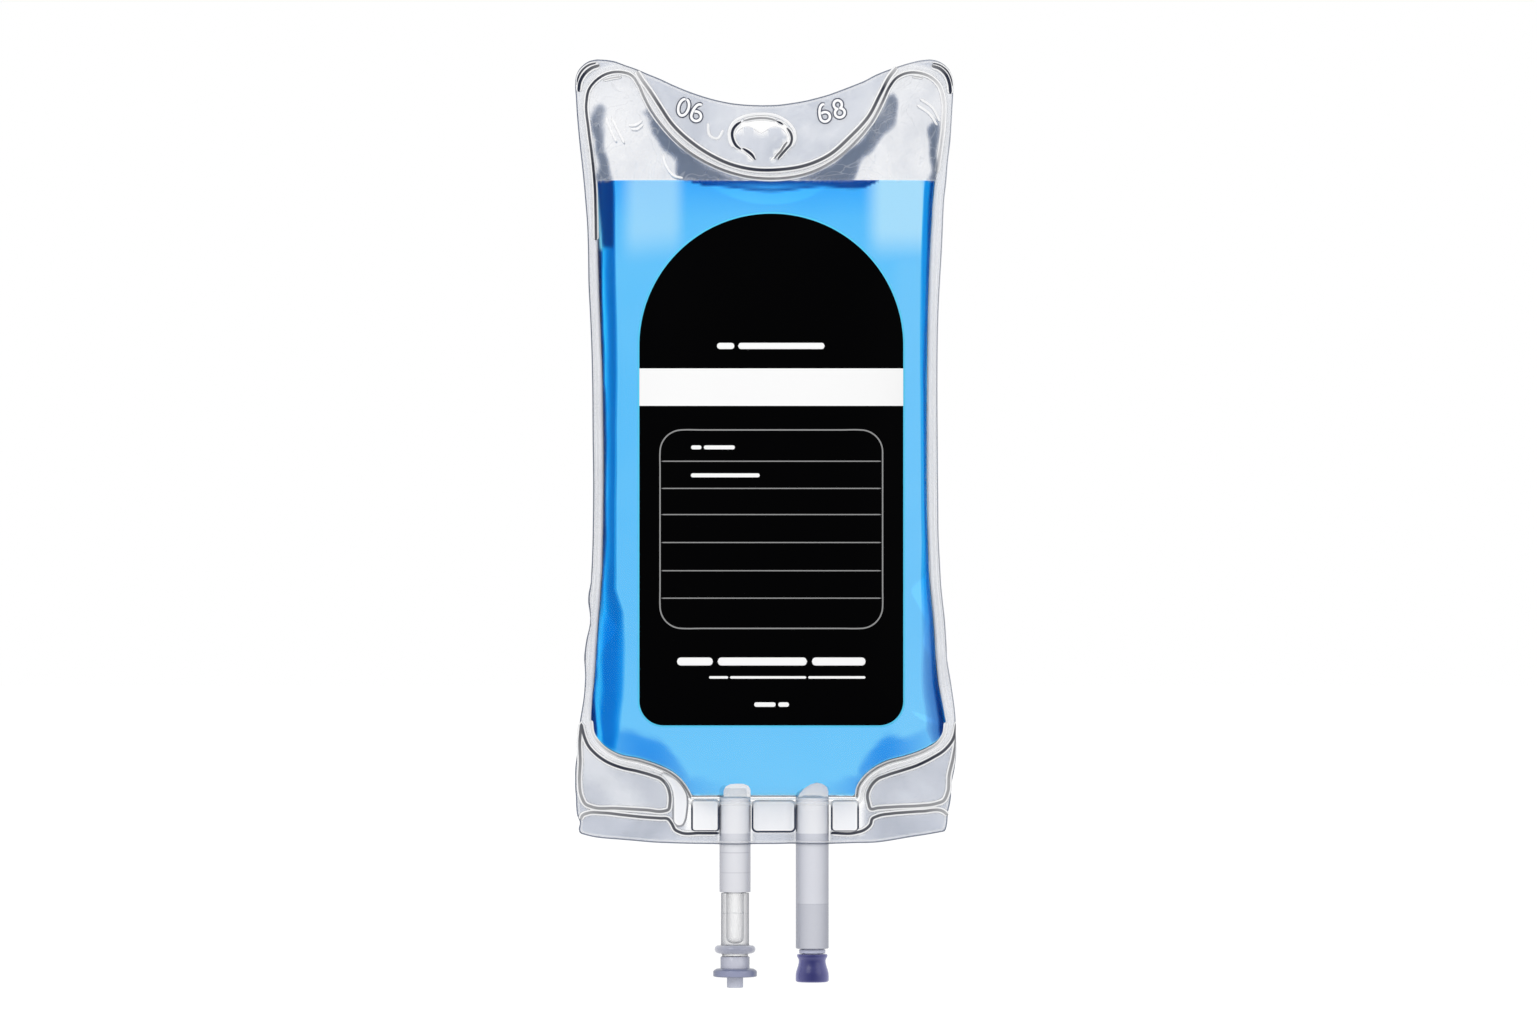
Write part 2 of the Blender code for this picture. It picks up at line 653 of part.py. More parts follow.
def make_injection_port(finishes, parts):
    tube_r = INJECTION_TUBE_DIAMETER / 2
    bore_r = tube_r - INJECTION_TUBE_WALL
    turned("injection_port_tube", [(0.0, PORT_TOP_Z)] + rounded(tube_r, PORT_TOP_Z, 0.0024)
           + [(tube_r, INJECTION_TUBE_END_Z), (bore_r, INJECTION_TUBE_END_Z),
              (bore_r, PORT_TOP_Z - TUBE_WEB - 0.0012), (bore_r - 0.0012, PORT_TOP_Z - TUBE_WEB),
              (0.0, PORT_TOP_Z - TUBE_WEB)], INJECTION_X, finishes["tube"], parts)

    plug_r = bore_r - FIT_GAP
    body_r = INJECTION_BODY_DIAMETER / 2
    cup_r = INJECTION_BODY_BORE / 2
    neck_r = INJECTION_NECK_DIAMETER / 2
    ring_r = INJECTION_BEAD_DIAMETER / 2 - INJECTION_BEAD_RADIUS
    shoulder_z = INJECTION_TUBE_END_Z - FIT_GAP
    bead_r = INJECTION_BEAD_RADIUS
    ring = [(ring_r + bead_r * math.cos(a), INJECTION_BEAD_Z + bead_r * math.sin(a))
            for a in np.linspace(math.radians(115), math.radians(-115), 7)]
    seat_r = SEPTUM_DIAMETER / 2 + FIT_GAP
    turned("injection_port_body", [(plug_r, INJECTION_BODY_TOP_Z), (plug_r, shoulder_z), (body_r, shoulder_z),
                                   (body_r, ring[0][1])] + ring
           + [(neck_r, ring[-1][1]), (neck_r, INJECTION_NECK_END_Z), (0.0, INJECTION_NECK_END_Z)]
           + [(0.0, INJECTION_BODY_FLOOR_Z), (0.7 * cup_r, INJECTION_BODY_FLOOR_Z + 0.0004),
              (cup_r, INJECTION_BODY_FLOOR_Z + 0.0014), (cup_r, INJECTION_BODY_TOP_Z)],
           INJECTION_X, finishes["clear"], parts)

    collar_r = COLLAR_NECK_DIAMETER / 2
    flange_r = COLLAR_FLANGE_DIAMETER / 2
    collar_top = INJECTION_NECK_END_Z - FIT_GAP
    nub_r = SEPTUM_NUB_DIAMETER / 2 + FIT_GAP
    turned("injection_port_collar", [(collar_r, collar_top), (collar_r, COLLAR_FLANGE_TOP_Z),
                                     (flange_r - 0.0008, COLLAR_FLANGE_TOP_Z - 0.0003),
                                     (flange_r, COLLAR_FLANGE_TOP_Z - 0.0010), (flange_r, COLLAR_END_Z + 0.0007),
                                     (flange_r - 0.0008, COLLAR_END_Z), (nub_r, COLLAR_END_Z),
                                     (nub_r, SEPTUM_HEAD_END_Z - FIT_GAP), (seat_r, SEPTUM_HEAD_END_Z - FIT_GAP),
                                     (seat_r, collar_top)], INJECTION_X, finishes["collar"], parts)

    head_r = SEPTUM_DIAMETER / 2
    pin_r = SEPTUM_NUB_DIAMETER / 2
    turned("injection_port_septum", [(0.0, SEPTUM_HEAD_TOP_Z), (head_r, SEPTUM_HEAD_TOP_Z),
                                     (head_r, SEPTUM_HEAD_END_Z), (pin_r, SEPTUM_HEAD_END_Z),
                                     (pin_r, SEPTUM_END_Z + 0.0005), (pin_r - 0.0005, SEPTUM_END_Z),
                                     (0.0, SEPTUM_END_Z)], INJECTION_X, finishes["septum"], parts)


def make_spike_port(finishes, parts, cutters):
    tube_r = SPIKE_TUBE_DIAMETER / 2
    bore_r = tube_r - SPIKE_TUBE_WALL
    tube = turned("spike_port_tube", [(0.0, PORT_TOP_Z)] + rounded(tube_r, PORT_TOP_Z, 0.0030)
                  + [(tube_r, SPIKE_TUBE_END_Z), (bore_r, SPIKE_TUBE_END_Z),
                     (bore_r, PORT_WELD_Z), (bore_r - 0.0012, PORT_WELD_Z + 0.0012),
                     (0.0, PORT_WELD_Z + 0.0012)], SPIKE_X, finishes["tube"], parts)
    reach = 1.5 * SPIKE_TUBE_DIAMETER
    wedge = box_mesh("slant_cutter", (-reach, -reach, 0.0), (reach, reach, reach))
    slant = add_cutter("slant_cutter", wedge, cutters)
    slant.rotation_euler = (0.0, -SPIKE_TUBE_CUT_ANGLE, 0.0)
    slant.location = (SPIKE_X - 0.20 * tube_r, 0.0, PORT_TOP_Z - 0.0004)
    cut(tube, slant)

    plug_r = bore_r - FIT_GAP
    ring_r = SPIKE_RING_DIAMETER / 2
    nozzle_r = NOZZLE_DIAMETER / 2
    hole_r = SPIKE_BORE / 2
    ring_top = SPIKE_TUBE_END_Z - FIT_GAP
    ring_end = ring_top - SPIKE_RING_HEIGHT
    turned("spike_port_body", [(0.0, SPIKE_WEB_Z), (hole_r, SPIKE_WEB_Z), (hole_r, SPIKE_BODY_TOP_Z),
                               (plug_r, SPIKE_BODY_TOP_Z), (plug_r, ring_top), (ring_r, ring_top),
                               (ring_r, ring_end), (nozzle_r, ring_end), (nozzle_r, NOZZLE_END_Z),
                               (hole_r, NOZZLE_END_Z), (hole_r, SPIKE_WEB_Z - SPIKE_WEB),
                               (0.0, SPIKE_WEB_Z - SPIKE_WEB)], SPIKE_X, finishes["clear"], parts)

    rim_r = CAP_RIM_DIAMETER / 2
    waist_r = CAP_WAIST_DIAMETER / 2
    widest_r = CAP_WIDEST_DIAMETER / 2
    grip_r = nozzle_r + FIT_GAP
    rim_z = ring_end - FIT_GAP
    height = rim_z - CAP_END_Z
    outer = [(rim_r - 0.0004, rim_z), (rim_r, rim_z - 0.0005), (rim_r, rim_z - 0.0012)]
    flare = smooth_curve([(rim_r, rim_z - 0.0012), (waist_r, rim_z - 0.30 * height),
                          (0.5 * (waist_r + widest_r), rim_z - 0.58 * height),
                          (widest_r, CAP_END_Z + 0.0016)], 8)[1:]
    foot = [(widest_r - 0.0003, CAP_END_Z + 0.0006), (widest_r - 0.0011, CAP_END_Z)]
    turned("spike_port_cap", outer + [tuple(point) for point in flare] + foot
           + [(0.0, CAP_END_Z), (0.0, NOZZLE_END_Z - FIT_GAP), (grip_r, NOZZLE_END_Z - FIT_GAP),
              (grip_r, rim_z)], SPIKE_X, finishes["cap"], parts)


def main():
    clear_scene()
    parts = collection("iv_fluid_bag")
    cutters = collection("cutters")
    finishes = {
        "film": material("clear_film", (0.72, 0.74, 0.79), 0.12, 0.35),
        "fluid": material("blue_fluid", (0.10, 0.47, 0.95), 0.05, 0.85),
        "label": material("black_print", (0.004, 0.004, 0.004), 0.45),
        "band": material("white_print", (0.93, 0.93, 0.93), 0.45),
        "tube": material("milky_tube", (0.62, 0.64, 0.72), 0.30, 0.85),
        "clear": material("clear_moulding", (0.80, 0.81, 0.85), 0.10, 0.50),
        "collar": material("grey_moulding", (0.33, 0.36, 0.47), 0.25, 0.90),
        "septum": material("septum_rubber", (0.60, 0.62, 0.69), 0.45),
        "cap": material("violet_cap", (0.10, 0.10, 0.30), 0.25),
    }
    eyelet = make_eyelet_cutter(cutters)
    make_film("front_film", -1, finishes["film"], parts, eyelet)
    make_film("back_film", 1, finishes["film"], parts, eyelet)
    make_fluid(finishes["fluid"], parts, cutters)
    make_print("label", label_outline(), FIT_GAP, finishes["label"], parts, cutters)
    make_print("label_band", band_outline(), 2 * FIT_GAP + LABEL_THICKNESS, finishes["band"], parts, cutters)
    make_injection_port(finishes, parts)
    make_spike_port(finishes, parts, cutters)


main()
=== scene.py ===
"""Looks of a one-litre intravenous fluid bag that hangs from its eyelet.

Everything is in metres in the frame of the solids: +Z up, the front towards -Y, and the origin at the
middle of the eyelet's upper edge, in the plane where the two sheets of film meet. Outlines are written
in millimetres as (x, z), and every surface is worked out as whole arrays of points.
"""

import math

import bmesh
import bpy
import numpy as np
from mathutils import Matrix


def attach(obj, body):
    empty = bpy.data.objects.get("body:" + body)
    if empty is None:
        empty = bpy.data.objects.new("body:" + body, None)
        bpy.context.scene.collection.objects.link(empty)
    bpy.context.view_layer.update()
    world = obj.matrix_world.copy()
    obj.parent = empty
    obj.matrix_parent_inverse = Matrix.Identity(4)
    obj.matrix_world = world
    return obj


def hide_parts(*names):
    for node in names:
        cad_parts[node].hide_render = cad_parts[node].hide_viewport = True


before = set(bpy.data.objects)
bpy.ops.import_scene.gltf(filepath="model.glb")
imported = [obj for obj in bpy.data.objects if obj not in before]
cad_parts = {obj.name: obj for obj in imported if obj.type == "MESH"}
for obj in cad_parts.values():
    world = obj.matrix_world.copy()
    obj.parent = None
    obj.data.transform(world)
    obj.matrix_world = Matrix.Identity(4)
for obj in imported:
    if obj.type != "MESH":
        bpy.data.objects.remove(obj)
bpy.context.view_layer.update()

MM = 0.001
FILM = 0.35 * MM
WELD_GAP = 0.3 * MM
FIT_GAP = 0.3 * MM
FLUID_LEVEL = -23.8 * MM
FLUID_FIT_X, FLUID_FIT_Y, FLUID_FIT_Z = 0.999, 0.985, 0.9985
MERGE_DISTANCE, LEAST_EDGE = 2e-6, 1e-7
VIEW_X, VIEW_Z, VIEW_DISTANCE = 1.2 * MM, -152.7 * MM, 3.996

# Outlines in millimetres. The outer edge of the film runs from the middle of the foot up each side
# and along the tab; the chamber's outline runs beside it, and both are matched stretch by stretch.

SKIRT_RIGHT = [
    (3.4, -282.4), (13.5, -282.2), (25.2, -282.3), (35.3, -282), (43.1, -281.8), (47.8, -281.2),
    (52.5, -280.4), (57.2, -279.6), (61.9, -278.9), (66.5, -278.1), (69.7, -277.5),
]
SKIRT_LEFT = [
    (3.4, -282.4), (-9.9, -282.4), (-20.8, -282.4), (-29, -282.3), (-36.4, -282.1), (-45, -281.7),
    (-50.5, -281.2), (-57.5, -280.6), (-64.5, -280), (-69.2, -279.2), (-72.1, -278.3),
]
HIP_RIGHT = [
    (69.7, -277.5), (70.7, -275.3), (71, -273), (71.2, -269.9), (71.8, -267.5), (72.4, -263.2),
    (72.4, -259.7), (73, -256.6), (73.6, -253.9), (74.0, -251.2), (74.3, -248), (74.4, -245.3),
    (74.4, -243),
]
HIP_LEFT = [
    (-72.1, -278.3), (-72.8, -276.5), (-72.3, -274.2), (-73.4, -271.1), (-73.8, -267.5), (-73.9, -264),
    (-74.2, -260.5), (-74.2, -256.6), (-74.2, -253.5), (-73.9, -250.4), (-73.5, -247.7), (-73.1, -245.3),
    (-73.1, -242.6),
]
EDGE_RIGHT = [
    (74.4, -243), (74.3, -239.1), (74.2, -234), (73.8, -229.3), (73.4, -226.2), (72.7, -221.5),
    (72.2, -218.4), (71.4, -213.7), (70.8, -209.8), (70.7, -205.9), (70.4, -201.2), (70, -195),
    (69.3, -188.8), (68.7, -183.3), (68.3, -177.5), (68, -171.6), (67.6, -163.8), (67.4, -148.2),
    (67.2, -124.8), (67.1, -101.4), (67.3, -81.9), (67.6, -72.2), (68, -64.4), (68.6, -54.6),
    (69, -46.8), (69.3, -39), (69.7, -31.2), (70.5, -24.2), (71.2, -15.6), (72, -9.4), (72.5, -2.3),
    (72.9, 4.7), (73.2, 9.4),
]
EDGE_LEFT = [
    (-73.1, -242.6), (-72.8, -237.9), (-72.3, -234), (-71.5, -229.3), (-70.9, -225.4), (-70.5, -220.7),
    (-70.3, -216.8), (-70.5, -212.9), (-70.7, -209.8), (-70.3, -205.9), (-69.7, -202), (-68.8, -198.5),
    (-68.3, -195), (-68.6, -191.5), (-69.1, -188.4), (-69, -184.9), (-68.2, -181), (-67.9, -176.3),
    (-67.6, -170), (-67.3, -156), (-67.2, -140.4), (-67.4, -124.8), (-67.6, -101.4), (-68, -85.8),
    (-68.5, -74.1), (-69, -64.4), (-69.2, -50.7), (-69.6, -39.8), (-70.2, -32.4), (-70.9, -24.2),
    (-71.8, -15.6), (-72.5, -9.4), (-73.1, -3.1), (-73.6, 3.1), (-73.9, 8.6),
]
CORNER_RIGHT = [
    (73.2, 9.4), (73.2, 14), (72.8, 17.2), (71.6, 19.7), (69.7, 21.6), (66.9, 23.1), (64.2, 23.6),
]
CORNER_LEFT = [
    (-73.9, 8.6), (-74.2, 13.3), (-73.9, 16.8), (-72.9, 19.3), (-71.1, 21.4), (-68.8, 22.9),
    (-65.7, 23.6),
]
TAB_RIGHT = [
    (64.2, 23.6), (60.3, 23.2), (57.2, 22.5), (52.5, 21.1), (47.8, 19.5), (43.1, 17.6), (38.5, 15.2),
    (33.8, 13.3), (29.1, 11.5), (24.4, 9.8), (19.7, 8.5), (15.1, 7.4), (10.4, 6.6), (4.9, 5.9),
    (-1.3, 5.7),
]
TAB_LEFT = [
    (-65.7, 23.6), (-62.2, 23.4), (-59, 22.9), (-55.1, 21.5), (-50.5, 19.9), (-45.8, 17.9), (-41.1, 16),
    (-36.4, 13.8), (-31.7, 11.8), (-27.1, 10.1), (-22.4, 8.6), (-17.7, 7.4), (-12.2, 6.4), (-6.8, 5.9),
    (-1.3, 5.7),
]
PORT_WELD_RIGHT = [
    (3.4, -264.4), (35.5, -264.4),
]
PORT_WELD_LEFT = [
    (3.4, -264.4), (-29, -264.4),
]
FOOT_RIGHT = [
    (35.5, -264.4), (36.3, -260.1), (38.7, -256.5), (43.1, -252.9), (47.4, -250.8), (55.1, -248.7),
    (63, -245.7), (67.3, -243), (69.7, -239.5), (70.4, -234.8),
]
FOOT_LEFT = [
    (-29, -264.4), (-30.8, -260.9), (-33.3, -257.6), (-37.2, -254.5), (-41.9, -252.3), (-48.9, -250),
    (-57.9, -247.9), (-64.1, -243.9), (-67.2, -239.7), (-68.1, -234),
]
SIDE_RIGHT = [
    (70.4, -234.8), (69.5, -229.3), (68.5, -225), (67.5, -219.2), (66.9, -213.7), (66.5, -206.7),
    (66.1, -200.8), (65.6, -194.2), (64.9, -187.2), (64.2, -180.2), (63.9, -172.4), (63.5, -161.8),
    (63.2, -148.2), (63.1, -124.8), (63.2, -101.4), (63.4, -85.8), (63.7, -70.2), (64.2, -55.4),
    (64.7, -44.9), (65.3, -35.1), (65.8, -27.3), (66.9, -19.5), (68.5, -9.8), (69.5, -0.8), (69.7, 6.2),
]
SIDE_LEFT = [
    (-68.1, -234), (-67.7, -227), (-67, -220), (-66.5, -212.2), (-66, -204.4), (-65.4, -196.6),
    (-64.8, -188.8), (-64.2, -181), (-63.8, -171.6), (-63.5, -156), (-63.3, -136.5), (-63.5, -117),
    (-63.8, -99.5), (-64.4, -83.9), (-65, -68.2), (-65.5, -50.7), (-65.7, -37.1), (-65.9, -28.1),
    (-66.7, -18.3), (-68.2, -7.8), (-69.6, 0.8), (-69.8, 7),
]
HORN_RIGHT = [
    (69.7, 6.2), (68.9, 10.5), (67.2, 14.2), (63.8, 17), (59.5, 18.3),
]
HORN_LEFT = [
    (-69.8, 7), (-69.2, 10.9), (-66.8, 14.6), (-63.3, 17.3), (-59, 18.6),
]
SMILE_RIGHT = [
    (59.5, 18.3), (55.6, 18.3), (52.3, 17.2), (49.4, 14.4), (46.5, 8.8), (42.4, 0.6), (35.3, -8.4),
    (27.1, -15.6), (16.6, -20.9), (7.6, -22.7), (1.4, -23),
]
SMILE_LEFT = [
    (-59, 18.6), (-55.1, 18.4), (-51.4, 16.8), (-48.5, 11.3), (-45.2, 4.7), (-39.2, -3.7),
    (-31.2, -11.5), (-23.2, -16.6), (-13.8, -20.5), (-5.2, -22.5), (1.4, -23),
]
SMILE_LINE = [
    (-50.3, 19.1), (-48.1, 15.6), (-45, 11.3), (-41.5, 5.9), (-36.4, -1.6), (-29, -8.6), (-20.8, -14),
    (-13.8, -17.2), (-4.6, -19.3), (6.5, -19.3), (15.8, -17.7), (24.8, -13.7), (33, -6.6), (40.4, 1.6),
    (44.7, 9.8), (48.4, 16.8), (51.3, 20.5),
]
POCKET_LEFT = [
    (-71.8, -235.6), (-70.7, -240.2), (-69, -244.1), (-66.1, -247.3), (-62.2, -250.1), (-56.3, -252.5),
    (-49.7, -254), (-44.2, -255.6), (-40.7, -257), (-38.4, -259.5), (-37.3, -262.9), (-37.3, -266.8),
    (-37.8, -268.9), (-39.5, -269.5), (-46.3, -269.1), (-58.3, -268.4), (-67.6, -267.9), (-70.1, -266.8),
    (-71.8, -263.6), (-72.5, -258.2), (-72.2, -250.4), (-72.4, -242.6), (-71.8, -235.6),
]
POCKET_RIGHT = [
    (74.7, -235.6), (73, -241.8), (69.8, -245.7), (65, -248.8), (59.1, -251.7), (53.1, -253.7),
    (47.4, -255.5), (43.5, -257.2), (41, -260), (39.8, -263.2), (40.2, -266.4), (41, -268.6),
    (43.9, -268.3), (51.3, -267.8), (60.3, -267.4), (66.5, -266.6), (69.5, -265.4), (71.1, -262.1),
    (71.6, -255.8), (73.2, -248.8), (74.3, -242.6), (74.7, -235.6),
]
SKIRT_LINE_LEFT = [
    (-72.1, -273), (-71.3, -271.2), (-69.2, -270.3), (-63.3, -270.2), (-54.8, -271.1), (-47, -271.9),
    (-41.1, -272.3), (-38, -272.6), (-36.4, -274.6), (-35.3, -276.7), (-33.3, -277.8), (-25.5, -278.1),
    (-18.1, -278.1),
]
SKIRT_LINE_RIGHT = [
    (71.2, -271.2), (69.4, -269.7), (61.1, -269.6), (54.8, -270), (49, -270.5), (43.9, -271.4),
    (41.6, -272.6), (41, -274.6), (38.8, -276.7), (35.3, -277.9), (25.2, -278),
]
CORNER_FACET_LEFT = [
    (-72.9, 10.9), (-72.3, 14.8), (-70.4, 18.1), (-67.6, 20.3), (-64.5, 21.3),
]
CORNER_FACET_RIGHT = [
    (72.2, 10.1), (71.8, 14), (70.4, 17.6), (68.1, 19.9), (64.6, 21.1),
]
# Outlines of painted shade on the headspace film, where it rises steeply from the welds and looks dark.
SMILE_SHADE_PATCH = [
    (-47.7, 2.8), (-45.8, -0.4), (-43.3, -5.6), (-40.3, -10.5), (-35.3, -15.1), (-34.4, -18.5),
    (-32.9, -24.2), (-17.7, -24.4), (-0.2, -24.6), (17.4, -24.4), (34.2, -24.2), (35.3, -21.8),
    (37.3, -18.7), (37.9, -15.6), (40.8, -12.9), (44.7, -8.6), (47, -5.5), (49.8, -2), (51.5, 3.1),
    (52.1, 7.8), (51.3, 10.1), (48.6, 9.8), (46.3, 7.8), (42.4, -0.4), (35.3, -9.4), (27.1, -16.6),
    (16.6, -21.8), (7.6, -23.8), (1.4, -24), (-5.2, -23.6), (-13.8, -21.6), (-23.2, -17.6),
    (-31.2, -12.6), (-39.2, -4.8), (-44.2, 2.9), (-46.2, 5.1), (-47.7, 2.8),
]
LEFT_SHADE_STREAK = [
    (-65.7, -24.6), (-66.1, -15.6), (-67, -3.9), (-67.4, 3.1), (-66.7, 5.5), (-65.2, 6.3), (-63.7, 5.3),
    (-62.8, 1.6), (-62, -7.8), (-61.2, -17.6), (-60.8, -24.6), (-65.7, -24.6),
]
RIGHT_SHADE_STREAK = [
    (63, -24.6), (63.8, -15.6), (64.2, -5.9), (64.8, -1.6), (66.1, 0.2), (67.3, -1.6), (67.6, -7.8),
    (67.3, -17.6), (66.7, -24.6), (63, -24.6),
]
SMILE_SECOND = [
    (-27.8, -9.6), (-24.7, -11.7), (-21.2, -13.5), (-18.1, -14.8),
]
EYELET_OUTER = [
    (-9.3, -0.6), (-11.3, -2), (-12.6, -3.7), (-13, -5.5), (-12.6, -7.8), (-11.5, -9.9), (-9.5, -11.5),
]
EYELET_LEFT_END = [
    (-9, -11), (-7.2, -12.1), (-5.4, -13.5), (-3.9, -15.6),
]
EYELET_TOP = [
    (-8.7, -0.4), (-5.2, 0.4), (-1.7, 0.7), (1.8, 0.4), (4.5, -0.4),
]
EYELET_RIGHT_TOP = [
    (4.3, -0.5), (5.7, -1.1), (7, -1.9),
]
EYELET_RIGHT = [
    (8.3, -3), (9.8, -5.1), (10.3, -7), (9.8, -9.4), (8.2, -11.3), (6.1, -13.7), (4.6, -15.6),
]
EYELET_RIGHT_END = [
    (8.6, -8.5), (7.4, -10), (6.1, -12.1), (4.7, -13.6), (3.4, -15.2),
]
EYELET_HALO = [
    (-12.6, -10.9), (-14, -7.8), (-14.1, -4.3), (-12.6, -1.2), (-9.5, 0.9), (-5.6, 2), (-1.7, 2.3),
    (2.6, 2), (6.5, 0.6), (9.6, -1.8), (11.4, -4.7), (11.5, -7.8), (10, -10.7),
]
CORNER_RIM_LEFT = [
    (-73.3, 12.5), (-72.9, 16.8), (-71.1, 19.7), (-68.8, 21.4), (-65.7, 22.2),
]
CORNER_RIM_RIGHT = [
    (72.8, 12.5), (72.2, 16.4), (70.6, 19.3), (68.1, 21.2), (65, 22.1),
]
POST_LEFT = [
    (-39.9, -254.3), (-37.6, -255.2), (-34.9, -256.6), (-32.1, -259.4), (-30.4, -262.5), (-30, -266),
    (-30.3, -269.9), (-31, -273.4), (-32.1, -275.3), (-34.5, -275.6), (-36, -274.3), (-36.3, -271.1),
    (-36.3, -266.4), (-36.8, -261.7), (-38.2, -258.6), (-39.9, -256.6), (-40.7, -255.3),
    (-39.9, -254.3),
]

# Short streaks of painted shade below the horns, where the film turns steeply.
HORN_SHADE_STREAKS = [
    [(-63.3, 15.4), (-60.1, 16.2), (-56, 16.8)], [(57.2, 16.8), (59.5, 16.7), (61.5, 16.2)],
]
# Bright crease lines in the headspace: painted highlights with no dark core.
CREASE_HIGHLIGHTS = [
    [(-62.2, 1), (-60.7, -3.2), (-58, -8.9)], [(-60.1, 1), (-57.5, -4.2), (-54.9, -9.4)],
    [(-53.4, -2.4), (-50.5, -2.1), (-47.9, -0.3)], [(-52.6, -3.7), (-50, -3.7), (-47.6, -1.8)],
    [(-40, -13.6), (-38.5, -18.3), (-35.6, -22), (-31.9, -23)],
    [(-22.5, -1.1), (-21.5, -6.3), (-18.9, -7.3), (-16.3, -3.7)],
    [(59, 5.7), (64.1, 2.1), (67.1, -2.4)], [(60.1, 8.2), (65.1, 4.7), (68.1, -0.9)],
]

# Curves and grids of points

def smooth_line(knots, count, grading=None):
    """Points along a cubic curve through the knots, whose tangents are the mean slopes there.

    The points are evenly spaced along the curve, or stand at the shares of its length in grading.
    """
    knots = np.asarray(knots, float)
    chord = np.concatenate([[0.0], np.cumsum(np.linalg.norm(np.diff(knots, axis=0), axis=1))])
    slope = np.gradient(knots, chord, axis=0)
    place = np.linspace(0.0, chord[-1], max(400, 12 * len(knots)))
    first = np.clip(np.searchsorted(chord, place) - 1, 0, len(chord) - 2)
    span = (chord[first + 1] - chord[first])[:, None]
    u = (place - chord[first])[:, None] / span
    fine = ((1 + 2 * u) * (1 - u) ** 2 * knots[first] + u * (1 - u) ** 2 * span * slope[first]
            + u**2 * (3 - 2 * u) * knots[first + 1] + u**2 * (u - 1) * span * slope[first + 1])
    length = np.concatenate([[0.0], np.cumsum(np.linalg.norm(np.diff(fine, axis=0), axis=1))])
    shares = np.linspace(0.0, 1.0, count) if grading is None else grading
    return np.stack([np.interp(shares * length[-1], length, fine[:, axis]) for axis in (0, 1)], axis=1)


def smoothstep(low, high, value):
    """0 below low, 1 above high, and between them 3s^2 - 2s^3 of the share s."""
    share = np.clip((value - low) / (high - low), 0.0, 1.0)
    return share * share * (3 - 2 * share)


def bump(value, centre, width):
    """A bell of height 1 round a centre: exp(-(distance / width)^2)."""
    return np.exp(-((value - centre) / width) ** 2)


def chain(*lines):
    """Join lines end to end, and leave out each repeated end point."""
    return np.vstack([lines[0]] + [line[1:] for line in lines[1:]])


def distance_to(line, x, z, block=4000):
    """Distance from each point to a line of many short pieces: the least distance to its segments."""
    flat = np.stack([x.ravel(), z.ravel()], axis=1)
    start, step = line[:-1], np.diff(line, axis=0)
    size = np.maximum((step**2).sum(axis=1), 1e-18)
    found = []
    for k in range(0, len(flat), block):
        away = flat[k:k + block, None] - start[None]
        share = np.clip((away * step).sum(axis=2) / size, 0.0, 1.0)
        found.append(np.sqrt(((away - share[..., None] * step) ** 2).sum(axis=2).min(axis=1)))
    return np.concatenate(found).reshape(x.shape)


def coons(bottom, right, top, left):
    """A grid blended from its four border curves: rows run from the bottom curve to the top curve."""
    u = np.linspace(0, 1, len(bottom))[None, :, None]
    v = np.linspace(0, 1, len(right))[:, None, None]
    corners = (1 - v) * ((1 - u) * bottom[0] + u * bottom[-1]) + v * ((1 - u) * top[0] + u * top[-1])
    return (1 - v) * bottom[None] + v * top[None] + (1 - u) * left[:, None] + u * right[:, None] - corners


def grid_faces(rows, columns, start=0):
    """Four-sided faces over a grid of points that is stored row by row."""
    first = start + np.arange(rows - 1)[:, None] * columns + np.arange(columns - 1)[None]
    return np.stack([first, first + 1, first + columns + 1, first + columns], axis=-1).reshape(-1, 4)


def make_mesh(name, grids, flipped=(), values=None, outward=False, sharp=None):
    """One mesh from grids of points, with named values kept at its points. Points that meet are merged.

    The faces of a closed piece can be turned outwards, and edges past a sharp angle in degrees stay sharp.
    """
    verts, faces, start = [], [], 0
    for number, grid in enumerate(grids):
        quads = grid_faces(grid.shape[0], grid.shape[1], start)
        faces.append(quads[:, ::-1] if number in flipped else quads)
        verts.append(grid.reshape(-1, 3))
        start += len(verts[-1])
    mesh = bpy.data.meshes.new(name)
    mesh.from_pydata(np.vstack(verts).tolist(), [], np.vstack(faces).tolist())
    for label, parts in (values or {}).items():
        attribute = mesh.attributes.new(label, "FLOAT", "POINT")
        joined = np.concatenate([part.ravel() for part in parts])
        attribute.data.foreach_set("value", joined.astype(np.float32))
    shape = bmesh.new()
    shape.from_mesh(mesh)
    bmesh.ops.remove_doubles(shape, verts=shape.verts, dist=MERGE_DISTANCE)
    bmesh.ops.dissolve_degenerate(shape, dist=LEAST_EDGE, edges=shape.edges)
    if outward:
        bmesh.ops.recalc_face_normals(shape, faces=shape.faces)
    shape.to_mesh(mesh)
    shape.free()
    mesh.shade_smooth()
    if sharp:
        mesh.set_sharp_from_angle(angle=math.radians(sharp))
    return mesh


def add_piece(name, mesh, finish, stands_for=(), body="bag"):
    """Put a mesh into the scene, with its finish and slot, the solids it stands for, and its body."""
    piece = bpy.data.objects.new(name, mesh)
    bpy.context.scene.collection.objects.link(piece)
    mesh.materials.append(finish)
    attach(piece, body)
    if stands_for:
        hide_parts(*stands_for)
    return piece


def prism(name, ring, reach):
    """A prism through a ring of (x, z) points, as far as reach before and behind the weld plane."""
    shape = bmesh.new()
    shape.faces.new([shape.verts.new((x, -reach, z)) for x, z in ring])
    grown = bmesh.ops.extrude_face_region(shape, geom=list(shape.faces))
    moved = [item for item in grown["geom"] if isinstance(item, bmesh.types.BMVert)]
    bmesh.ops.translate(shape, verts=moved, vec=(0.0, 2 * reach, 0.0))
    bmesh.ops.recalc_face_normals(shape, faces=shape.faces)
    mesh = bpy.data.meshes.new(name)
    shape.to_mesh(mesh)
    shape.free()
    cutter = bpy.data.objects.new(name, mesh)
    bpy.context.scene.collection.objects.link(cutter)
    return cutter


